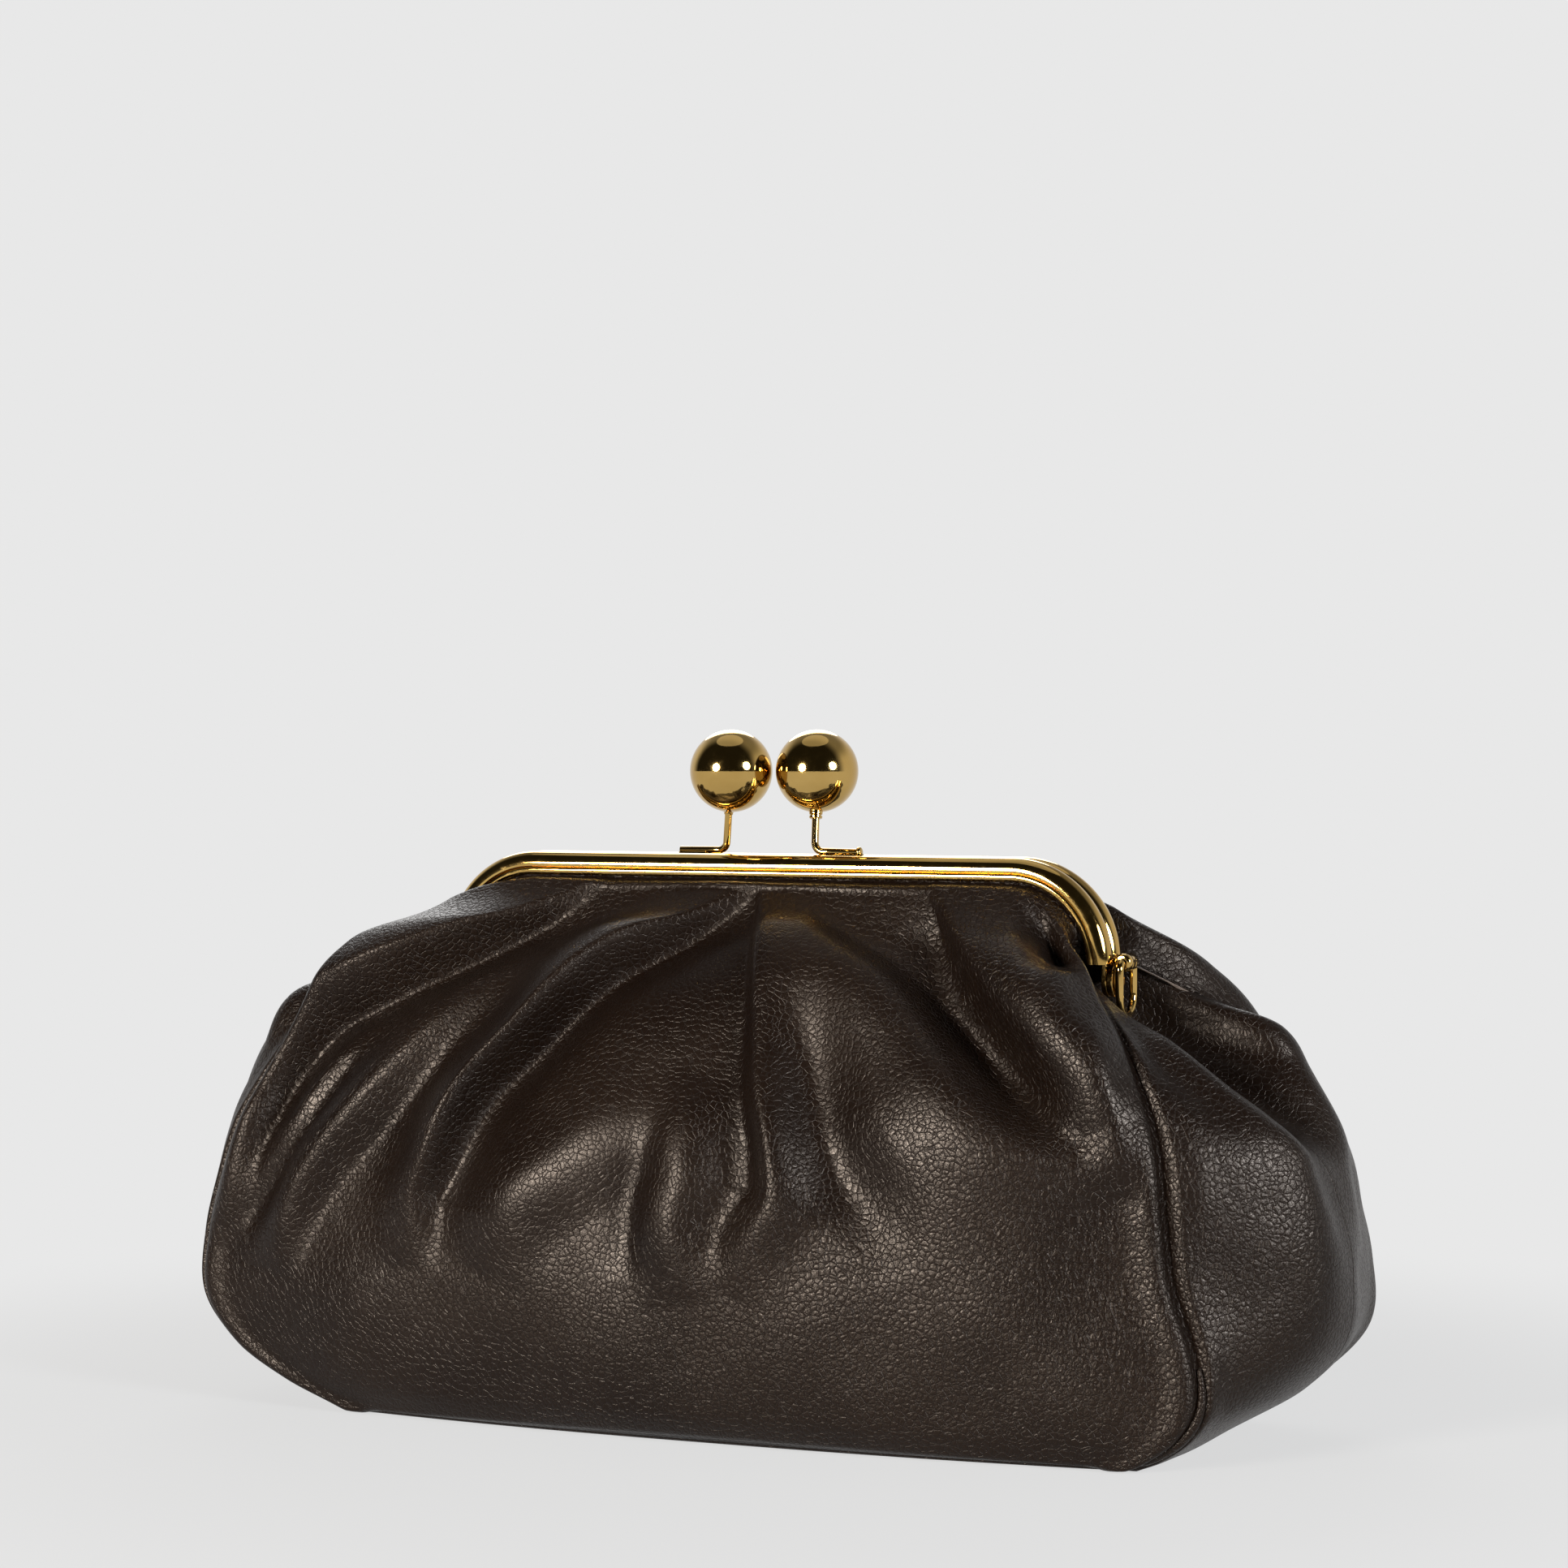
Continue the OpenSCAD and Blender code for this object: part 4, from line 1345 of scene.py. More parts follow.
@dataclass
class Pouch:
    """The leather pouch with its linings and base board."""

    form: PurseForm
    finishes: Finishes
    wall: float = 1.6
    lining_gap: float = 1.9
    lining_wall: float = 0.6
    lining_hang: float = 3.0
    panel_counts: tuple[int, int, int] = (330, 202, 30)
    lining_counts: tuple[int, int, int] = (99, 61, 9)
    strip_counts: tuple[int, int, int] = (60, 210, 243)
    strip_lining_counts: tuple[int, int, int] = (15, 60, 72)
    back_share: float = 0.65
    seam_flat: float = 1.5
    seam_ease: float = 9.0
    end_ease: float = 7.0
    foot_ease: float = 24.0
    frame_ease: tuple[float, float] = (14.0, 1.5)
    welt_r: float = 1.25
    welt_top: float = 24.0
    bend_start: tuple[float, float] = (0.002, 0.098)
    bend_end: tuple[float, float] = (0.014, 0.125)
    lining_lead: float = 0.024
    strip_lining_lead: float = 0.006

    def stretch(self) -> Stretch:
        """Gives the run over the belly's middle, by height.

        Returns:
            What turns a height into the run.
        """
        t = np.linspace(0, 1, 240)
        line = self.form.panel(t, np.zeros_like(t))
        run = line_run(line)
        return Stretch(np.append(line[:, 2], self.form.frame_top), np.append(run, run[-1] + 10))

    def even_rows(self, count: int) -> np.ndarray:
        """Gives height shares that stand evenly along the belly.

        Args:
            count: How many.

        Returns:
            The shares, from 0 at the base to 1 under the frame.
        """
        t = np.linspace(0, 1, 400)
        line = self.form.panel(t, np.zeros_like(t))
        run = line_run(line)
        return np.interp(np.linspace(0, run[-1], count), run, t)

    def panel_base(self, rows: np.ndarray, columns: int, rim: int) -> np.ndarray:
        """Grid of the back panel without folds.

        Args:
            rows: Height shares below the frame.
            columns: Number of steps across.
            rim: Number of rows from the frame's lip into its channel.

        Returns:
            The grid in mm.
        """
        s = np.linspace(-1, 1, columns + 1)
        t, ss = np.meshgrid(rows, s, indexing="ij")
        low = self.form.panel(t, ss)
        knots = [
            self.form.panel(np.full_like(s, 0.95), s),
            low[-1],
            self.form.held_edge(s, self.form.neck),
            self.form.held_edge(s, self.form.lip),
            self.form.held_edge(s, self.form.tuck),
        ]
        top = []
        for k in range(1, rim + 1):
            u = 1 + 3 * k / rim
            i = min(int(u), 3)
            f = u - i
            a, b = knots[i], knots[min(i + 1, 4)]
            p, q = knots[i - 1], knots[min(i + 2, 4)]
            top.append(
                a * (1 - f) + b * f
                + (f * (1 - f)) * ((1 - f) * ((b - p) / 2 - (b - a)) + f * ((b - a) - (q - a) / 2))
            )
        return np.concatenate([low, np.stack(top)])

    def sway(self, x: np.ndarray, run: np.ndarray, seed: float) -> np.ndarray:
        """Slow unevenness of soft leather, in mm.

        Args:
            x: Place across in mm.
            run: Run over the belly in mm.
            seed: What sets one side off from the other.

        Returns:
            How far each point stands out.
        """
        return (
            0.55 * np.sin(x / 17.0 + seed) * np.sin(run / 21.0 + 2 * seed)
            + 0.35 * np.sin(x / 9.5 + run / 13.0 + 3 * seed)
            + 0.2 * np.sin(x / 6.1 - run / 7.7 + seed) * np.sin(run / 19.0)
        )

    def panel_grid(
        self, turn: Turn, columns: int, side_rows: int, rim: int, sink: float = 0.0
    ) -> tuple[np.ndarray, np.ndarray]:
        """Outer face of a panel with its folds, and its inward directions.

        Args:
            turn: Which side it is.
            columns: Steps across.
            side_rows: Rows below the frame.
            rim: Rows into the channel.
            sink: How far a sheet that lies loose inside hangs away from the leather.

        Returns:
            The grid in mm and the inward direction at each point.
        """
        rows = self.even_rows(side_rows)
        base = self.panel_base(rows, columns, rim)
        normal = grid_normals(base)
        if normal[side_rows // 2, columns // 2, 1] < 0:
            normal = -normal
        stretch = self.stretch()
        x = -base[..., 0]
        run = stretch.run(base[..., 2])
        crown = self.form.held_edge(np.linspace(-1, 1, columns + 1), self.form.lip)[:, 2]
        long, short = self.frame_ease
        hold = smooth((crown[None] - base[..., 2]) / long)
        hold = 0.25 * smooth((crown[None] - base[..., 2]) / short) + 0.75 * hold
        left = run_length(base, 1)
        right = left[:, -1:] - left
        edge = np.minimum(left, right)
        low = run_length(base, 0)
        free = hold * smooth((edge - self.seam_flat) / self.seam_ease) * smooth(low / self.foot_ease)
        share, seed = (1.0, 1.0) if turn is Turn.FRONT else (self.back_share, 2.2)
        amount = free * share
        move = np.zeros_like(base)
        across = unit(np.gradient(base, axis=1))
        down = unit(np.gradient(base, axis=0))
        stand = np.zeros_like(x)
        for fold in FRONT_FOLDS:
            rise, shift, slide = fold.press(x, run, stretch)
            stand += rise
            if not sink:
                move -= across * (shift * amount)[..., None]
                move += down * (slide * amount)[..., None]
        if sink:
            stand = np.minimum(stand, 0) - sink * smooth(edge / 12.0)
        move += normal * (stand * amount + self.sway(x, run, seed) * free)[..., None]
        t_all = np.concatenate([rows, np.ones(rim)])
        fade = np.concatenate([np.ones(len(rows)), np.linspace(1, 0, rim)])
        for side, reach in ((-1, left), (1, right)):
            way = self.form.seam_inward(t_all, side, 1)
            move += way[:, None, :] * (seam_groove(reach, base[..., 2], 1.1, 2.1) * fade[:, None])[..., None]
        under = 1.3 * np.exp(-((low / 1.7) ** 2))
        move += np.array([0.0, -0.7, 0.7]) * under[..., None]
        points = base + move
        inward = -grid_normals(points)
        if inward[side_rows // 2, columns // 2, 1] > 0:
            inward = -inward
        for j, side in ((0, -1), (-1, 1)):
            inward[:, j] = self.form.seam_inward(t_all, side, 1)
        inward[-rim // 2 :] = (0, -1, 0)
        return turn.place(points), turn.place(inward)

    def gusset_grid(
        self, half: Turn, across: int, side_rows: int, base_rows: int, sink: float = 0.0
    ) -> tuple[np.ndarray, np.ndarray]:
        """Outer face of one half of the gusset strip, from the right end to the left.

        Args:
            half: The half in front of the middle or behind it.
            across: Steps from the middle to the seam.
            side_rows: Rows down each end.
            base_rows: Rows along the base.
            sink: How far a sheet that lies loose inside hangs away from the leather.

        Returns:
            The grid in mm and the inward direction at each point.
        """
        w = np.linspace(-1, 1, 2 * across + 1)
        t = self.even_rows(side_rows)[::-1]
        tt, ww = np.meshgrid(t, w, indexing="ij")
        right = self.form.gusset(tt, ww)
        tt2, ww2 = np.meshgrid(t[::-1], -w, indexing="ij")
        left = Turn.FRONT.place(self.form.gusset(tt2, ww2))
        s = np.linspace(1, -1, base_rows + 2)[1:-1]
        back = self.form.panel(np.zeros_like(s), s)
        front = Turn.FRONT.place(self.form.panel(np.zeros_like(s), -s))
        f = ((1 + w) / 2)[None, :, None]
        base = front[:, None] * (1 - f) + back[:, None] * f
        grid = np.concatenate([right, base, left])
        shares = np.concatenate([t, np.zeros(base_rows), t[::-1]])
        normal = grid_normals(grid)
        if normal[side_rows // 3, across // 2, 0] < 0:
            normal = -normal
        reach_a = run_length(grid, 1)
        reach_b = reach_a[:, -1:] - reach_a
        move = np.zeros_like(grid)
        high = grid[..., 2]
        edge = np.minimum(reach_a, reach_b)
        keep = smooth((edge - self.seam_flat) / self.end_ease) * smooth(high / 20.0)
        move -= normal * (sink * keep)[..., None]
        for turn, crease in [(turn, c) for c in END_CREASES for turn in Turn] + [(Turn.BACK, LEFT_RIDGE)]:
            rise = min(crease.rise, 0.0) if sink else crease.rise
            away, share = nearest(grid, turn.place(np.array(crease.line, float)))
            lift = rise * np.sin(np.pi * np.clip(share * 0.88 + 0.08, 0, 1)) ** 0.6
            move += normal * (lift * np.exp(-((away / crease.width) ** 2)) * keep)[..., None]
        crumple = (
            0.5 * np.sin(grid[..., 1] / 3.1 + high / 11.0) * np.sin(high / 8.0 + 1.0)
            + 0.3 * np.sin(grid[..., 1] / 5.3 - high / 6.0)
        ) * smooth((high - 40) / 40.0)
        soft = 0.6 * np.sin(high / 15.0 + grid[..., 1] / 12.0)
        move += normal * ((crumple + soft) * keep)[..., None]
        side_x = np.concatenate([np.ones(side_rows), np.linspace(1, -1, base_rows), -np.ones(side_rows)])
        for reach, side_y in ((reach_a, -1), (reach_b, 1)):
            way = self.form.seam_inward(shares, side_x, side_y)
            move += way[:, None, :] * seam_groove(reach, high, 0.1, 1.3)[..., None]
        points = grid + move
        inward = -grid_normals(points)
        if inward[side_rows // 3, across // 2, 0] > 0:
            inward = -inward
        for j, side_y in ((0, -1), (-1, 1)):
            inward[:, j] = self.form.seam_inward(shares, side_x, side_y)
        cut = slice(0, across + 1) if half is Turn.FRONT else slice(across, None)
        return points[:, cut], inward[:, cut]

    def hang(self, piece: bpy.types.Object, slot: str, node: str) -> None:
        """Dresses a sheet, hides the part it stands for and bakes its transform into its points.

        Args:
            piece: The sheet.
            slot: leather for the leather finish, anything else for the lining.
            node: The node it stands for.
        """
        finish = self.finishes.leather if slot == "leather" else self.finishes.lining
        self.finishes.dress(piece, finish, slot)
        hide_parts(node)
        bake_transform(piece)

    def build(self) -> None:
        """Builds the leather, the linings and the board."""
        for half in (Turn.FRONT, Turn.BACK):
            word = half.word
            points, inward = self.panel_grid(half, *self.panel_counts)
            panel = Shop.shell(f"{word}_leather", points, inward, self.wall)
            self.hang(panel, "leather", f"{word}_panel")
            self.welt(half, points, inward)
            points, inward = self.panel_grid(half, *self.lining_counts, self.lining_hang)
            points = points + inward * self.lining_gap
            lining = Shop.shell(f"{word}_lining_cloth", points, inward, self.lining_wall)
            self.hang(lining, "lining", f"{word}_lining")
            points, inward = self.gusset_grid(half, *self.strip_counts)
            strip = self.strip(f"{word}_gusset_leather", points, inward, self.wall)
            self.hang(strip, "leather", "gusset")
            points, inward = self.gusset_grid(half, *self.strip_lining_counts, self.lining_hang)
            points = points + inward * self.lining_gap
            strip = self.strip(f"{word}_gusset_cloth", points, inward, self.lining_wall)
            self.hang(strip, "lining", "gusset_lining")
        self.board()

    def welt(self, half: Turn, points: np.ndarray, inward: np.ndarray) -> None:
        """Rolls the short welt at the foot of the panel's tighter side seam.

        Args:
            half: The side of the bag.
            points: The outer face of that side's panel.
            inward: The inward direction at each of its points.
        """
        rows = np.nonzero(points[:, 0, 2] < self.welt_top)[0][::-1]
        along_base = slice(1, 9)
        line = np.concatenate([points[rows, 0], points[0, along_base]])
        line = line - 0.5 * np.concatenate([inward[rows, 0], inward[0, along_base]])
        run = line_run(line)
        at = np.linspace(0, run[-1], 48)
        path = np.stack([np.interp(at, run, line[:, k]) for k in range(3)], -1)
        for _ in range(3):
            path[1:-1] = (path[:-2] + path[1:-1] * 2 + path[2:]) / 4
        path[:, 2] = np.maximum(path[:, 2], self.welt_r + 0.1)
        way = unit(np.gradient(path, axis=0))
        side = unit(np.cross(way, (0, 0, 1.0)))
        top = np.cross(side, way)
        radius = self.welt_r * np.sin(np.pi * np.linspace(0.04, 0.96, len(at))) ** 0.45
        count, last = 16, len(path) - 1
        turn = np.linspace(0, math.tau, count, endpoint=False)[:, None]
        rings = path[:, None] + radius[:, None, None] * (
            np.cos(turn) * side[:, None] + np.sin(turn) * top[:, None]
        )
        tips = [path[:1] - way[:1] * 0.2, path[-1:] + way[-1:] * 0.2]
        ring = [(k, (k + 1) % count) for k in range(count)]
        faces = [
            (i * count + a, i * count + b, (i + 1) * count + b, (i + 1) * count + a)
            for i in range(last)
            for a, b in ring
        ]
        tip = len(path) * count
        faces += [(tip, b, a) for a, b in ring]
        faces += [(tip + 1, last * count + a, last * count + b) for a, b in ring]
        welt = Shop.from_arrays(
            f"{half.word}_corner_welt", np.concatenate([rings.reshape(-1, 3), *tips]), faces
        )
        Shop.pick(welt)
        bpy.ops.object.mode_set(mode="EDIT")
        Shop.close(welt)
        self.finishes.dress(welt, self.finishes.leather, "leather")
        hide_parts("gusset")
        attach(welt, "bag")

    def strip(self, name: str, points: np.ndarray, inward: np.ndarray, wall: float) -> bpy.types.Object:
        """Makes a shell after trimming its grid to counts that its inner face can share.

        Args:
            name: The piece's name.
            points: The grid in mm.
            inward: The inward direction at each point.
            wall: Thickness in mm.

        Returns:
            The object.
        """
        rows = (len(points) - 1) // 3 * 3 + 1
        pick = np.round(np.linspace(0, len(points) - 1, rows)).astype(int)
        return Shop.shell(name, points[pick], inward[pick], wall)

    def board(self) -> None:
        """Builds the base board under its lining cloth."""
        low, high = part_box("base_board")
        r = 0.012
        corners = []
        for cx, cy, first in ((1, 1, 0), (-1, 1, 90), (-1, -1, 180), (1, -1, 270)):
            for k in range(13):
                a = math.radians(first + 90 * k / 12)
                corners.append(
                    Vector((cx * (high.x - r) + r * math.cos(a), cy * (high.y - r) + r * math.sin(a), low.z))
                )
        board = Shop.plate("covered_base_board", corners, Vector((0, 0, high.z - low.z)), 0.0006)
        layer = board.data.uv_layers.new(name="pattern")
        for loop in board.data.loops:
            co = board.data.vertices[loop.vertex_index].co
            layer.data[loop.index].uv = (co.x, co.y)
        self.finishes.dress(board, self.finishes.lining, "board")
        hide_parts("base_board")
        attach(board, "bag")


# Frame, clasp and rings


def to_back(obj: bpy.types.Object) -> bpy.types.Object:
    """Turns a finished piece half a turn about the purse's upright middle line.

    Args:
        obj: The piece.

    Returns:
        The piece.
    """
    obj.data.transform(Matrix.Rotation(math.pi, 4, "Z"))
    obj.data.update()
    return obj


def joined(name: str, parts: list[bpy.types.Object]) -> bpy.types.Object:
    """Joins parts into one piece.

    Args:
        name: The piece's name.
        parts: The parts.

    Returns:
        The piece.
    """
    Shop.pick(parts[0])
    for p in parts[1:]:
        p.select_set(True)
    bpy.ops.object.join()
    parts[0].name = parts[0].data.name = name
    Shop.deselect()
    return parts[0]


@dataclass
class FrameHalf:
    """One half of the metal frame with its hinge ears and the paper cord in its channel."""

    half: Turn
    form: PurseForm
    finishes: Finishes
    ear_x: float
    bead_r: float = 0.85
    bead_mid: float = 4.6
    channel_half: float = 1.9
    rail_back: float = 1.4
    ear_r: float = 3.8
    ear_t: float = 1.3
    neck_top: float = 112.0
    cord_inset: float = 2.35
    cord_d: float = 1.7

    def section(self) -> list[tuple[float, float]]:
        """Rail section: how far inside the outline, as a negative number, and how far out.

        Returns:
            The points in mm, in order.
        """
        r, side = self.form.rail_t / 2, self.form.rail_t / 2 - 0.2
        points = [(-self.form.rail_h + 0.25, -r), (-r, -r)]
        points += [(-r + r * math.cos(a), r * math.sin(a)) for a in np.radians(np.linspace(-80, 98, 24))]
        bead = self.bead_r - self.bead_mid
        points += [(bead + 0.12, side - 0.34), (bead + 0.02, side - 0.62)]
        for a in np.radians(np.linspace(15, 165, 11)):
            points.append((-self.bead_mid + self.bead_r * math.cos(a), side - 0.62 + 0.5 * math.sin(a)))
        low, inner = -self.form.rail_h, self.channel_half
        points += [(low + 0.12, side - 0.55), (low, side - 0.66), (low, inner + 0.12)]
        points += [(low + 0.15, inner), (-self.rail_back - 0.3, inner), (-self.rail_back, inner - 0.3)]
        points += [(-self.rail_back, 0.3 - inner), (-self.rail_back - 0.3, -inner), (low + 0.15, -inner)]
        points += [(low, -inner - 0.15), (low, 0.25 - r)]
        return points

    def rail(self) -> bpy.types.Object:
        """Bends the rail round the frame's outline.

        Returns:
            The rail.
        """
        f, sign = self.form, self.half.value
        section = [
            Vector((f.half_w + a, sign * (f.rail_mid + b), f.corner_z)) * MM for a, b in self.section()
        ]
        place = Vector((f.half_w, sign * f.rail_mid, f.corner_z)) * MM
        sweep = Sweep("rail", section, place, Vector((0, 0, 1)))
        sweep.arc(Vector((f.flat_x, 0, f.corner_z)) * MM, Vector((0, 1, 0)), -90, 44)
        for _ in range(4):
            sweep.straight(f.flat_x / 2 * MM)
        sweep.arc(Vector((-f.flat_x, 0, f.corner_z)) * MM, Vector((0, 1, 0)), -90, 44)
        return sweep.end(32)

    def ear(self, side: int) -> bpy.types.Object:
        """Cuts a hinge ear with its neck.

        Args:
            side: 1 for the right end, -1 for the left.

        Returns:
            The ear.
        """
        f, sign = self.form, self.half.value
        outline = [(0.15, self.neck_top), (self.ear_r - 0.3, self.neck_top)]
        for a in np.radians(np.linspace(23, -272.3, 44)):
            outline.append((self.ear_r * math.cos(a), f.hinge_z + self.ear_r * math.sin(a)))
        x = side * self.ear_x
        points = [Vector((x, sign * y, z)) * MM for y, z in outline]
        return Shop.plate("ear", points, Vector((side * self.ear_t * MM, 0, 0)), 0.00025)

    def cord(self) -> bpy.types.Object:
        """Lays the paper cord in the channel, from one end of the tucked leather to the other.

        Returns:
            The cord.
        """
        f, sign = self.form, self.half.value
        radius = f.corner_r - self.cord_inset
        tilt = math.radians(f.tuck_angle)
        middle, other = (Vector((x, sign * f.rail_mid, f.corner_z)) * MM for x in (f.flat_x, -f.flat_x))
        place = middle + Vector((radius * math.cos(tilt), 0, radius * math.sin(tilt))) * MM
        heading = Vector((-math.sin(tilt), 0, math.cos(tilt)))
        sweep = Sweep("cord", round_section(place, heading, self.cord_d, 14), place, heading)
        sweep.arc(middle, Vector((0, 1, 0)), f.tuck_angle - 90, 14)
        sweep.heading = Vector((-1, 0, 0))
        sweep.straight(2 * f.flat_x * MM)
        sweep.arc(other, Vector((0, 1, 0)), f.tuck_angle - 90, 14)
        return sweep.end()

    def build(self) -> None:
        """Builds the half and its paper cord."""
        word = self.half.word
        rail = joined(f"{word}_gold_frame", [self.rail(), self.ear(1), self.ear(-1)])
        self.finishes.dress(rail, self.finishes.gold, "gold")
        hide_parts(f"{word}_frame")
        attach(rail, f"{word}_half")
        cord = self.cord()
        cord.name = f"{word}_paper_cord"
        self.finishes.dress(cord, self.finishes.cord, "paper_cord")
        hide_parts(f"{word}_channel_cord")
        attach(cord, f"{word}_half")


class FootEnd(Enum):
    """How the end of a clasp stem's foot looks."""

    FLARED = "flared"
    CUT = "cut"


@dataclass
class ClaspBall:
    """One clasp ball on its bent wire stem, drawn for the front half."""

    half: Turn
    finishes: Finishes
    foot_x: float
    foot_end: FootEnd
    ball_d: float = 20.0
    ball_place: tuple[float, float, float] = (10.15, 2.65, 155.0)
    foot_y: float = 1.7
    foot_z: float = 135.7
    foot_l: float = 12.2
    bend: float = 2.4
    wire: float = 1.8
    depth: float = 4.0
    pad_l: float = 7.8
    pad_w: float = 2.4

    def run(self) -> Vector:
        """Gives the way from the foot's corner to the ball's middle, in mm."""
        x, y, z = self.ball_place
        return Vector((x - self.foot_x, y + self.foot_y, z - self.foot_z))

    def corner(self) -> Vector:
        """Gives the foot's corner in metres."""
        return Vector((self.foot_x, -self.foot_y, self.foot_z)) * MM

    def stem(self) -> bpy.types.Object:
        """Bends the wire from its foot up into the ball.

        Returns:
            The stem.
        """
        run = self.run()
        tip = math.atan2(run.y, run.z)
        lean = math.degrees(math.atan2(run.x, math.hypot(run.y, run.z)))
        lay = Matrix.Translation(self.corner()) @ Matrix.Rotation(-tip, 4, "X")
        turn = 90 + lean
        reach = self.bend * math.tan(math.radians(turn / 2))
        place = lay @ (Vector((self.foot_l, 0, 0)) * MM)
        heading = Vector((-1, 0, 0))
        # the foot's end as moves of some length that swell the wire to some diameter
        if self.foot_end is FootEnd.FLARED:
            first, moves = 1.4, ((0.18, 2.1), (0.22, 2.5), (0.55, 2.5), (0.3, self.wire))
        else:
            first, moves = self.wire - 0.16, ((0.08, self.wire),)
        sweep = Sweep("stem", round_section(place, heading, first), place, heading)
        used, now = 0.0, first
        for length, diameter in moves:
            sweep.straight(length * MM)
            if diameter != now:
                sweep.swell(diameter / now)
            used, now = used + length, diameter
        sweep.straight((self.foot_l - reach - used) * MM)
        centre = lay @ (Vector((reach, 0, self.bend)) * MM)
        axis = lay.to_3x3() @ Vector((0, 1, 0))
        sweep.arc(centre, axis, turn, 16)
        top = run.length - self.ball_d / 2 + self.depth
        sweep.straight((top - reach) * MM)
        return sweep.end(50)

    def pad(self) -> bpy.types.Object:
        """Casts the solder pad under the foot.

        Returns:
            The pad.
        """
        x0, x1 = self.foot_x + self.foot_l - self.pad_l, self.foot_x + self.foot_l + 0.5
        r, z = self.pad_w / 2, self.foot_z - 2.0
        outline = []
        for cx, first in ((x1 - r, -90), (x0 + r, 90)):
            for k in range(13):
                a = math.radians(first + 180 * k / 12)
                outline.append(Vector((cx + r * math.cos(a), -self.foot_y + r * math.sin(a), z)) * MM)
        return Shop.plate("pad", outline, Vector((0, 0, 1.75 * MM)), 0.0006)

    def collar(self) -> bpy.types.Object:
        """Turns the ferrule under the ball.

        Returns:
            The ferrule.
        """
        base = self.run().length - self.ball_d / 2
        bore = self.wire / 2
        if self.foot_end is FootEnd.FLARED:
            steps = (
                (-1.7, bore), (-1.7, 1.35), (-1.58, 1.55), (-1.15, 1.6), (-1.0, 1.32), (-0.8, 1.32),
                (-0.66, 1.6), (0.1, 1.68), (0.3, 1.6), (0.3, bore), (-1.7, bore),
            )
        else:
            steps = (
                (-0.95, bore), (-0.9, 1.08), (-0.45, 1.1), (-0.25, 1.4), (-0.05, 1.55), (0.25, 1.5),
                (0.3, bore), (-0.95, bore),
            )
        return Shop.lathe("collar", [(base + a, r) for a, r in steps], self.corner(), self.run(), 40)

    def ball(self) -> bpy.types.Object:
        """Turns the ball with its seat for the stem.

        Returns:
            The ball.
        """
        middle, r, hole = self.run().length, self.ball_d / 2, 1.2
        first = math.asin(hole / r)
        profile = [(middle - r + self.depth, 0.0), (middle - r + self.depth, hole)]
        profile += [(middle - r * math.cos(a), r * math.sin(a)) for a in np.linspace(first, math.pi, 72)[:-1]]
        profile.append((middle + r, 0.0))
        return Shop.lathe("ball", profile, self.corner(), self.run(), 96)

    def build(self) -> None:
        """Builds the four pieces on their frame half."""
        word = self.half.word
        made = {
            f"{word}_clasp_stem": (self.stem(), f"{word}_stem"),
            f"{word}_solder_pad": (self.pad(), f"{word}_stem_pad"),
            f"{word}_ferrule": (self.collar(), f"{word}_ball_collar"),
            f"{word}_clasp_ball": (self.ball(), f"{word}_ball"),
        }
        for name, (piece, node) in made.items():
            if self.half is Turn.BACK:
                to_back(piece)
            piece.name = piece.data.name = name
            self.finishes.dress(piece, self.finishes.gold, "gold")
            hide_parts(node)
            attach(piece, f"{word}_half")


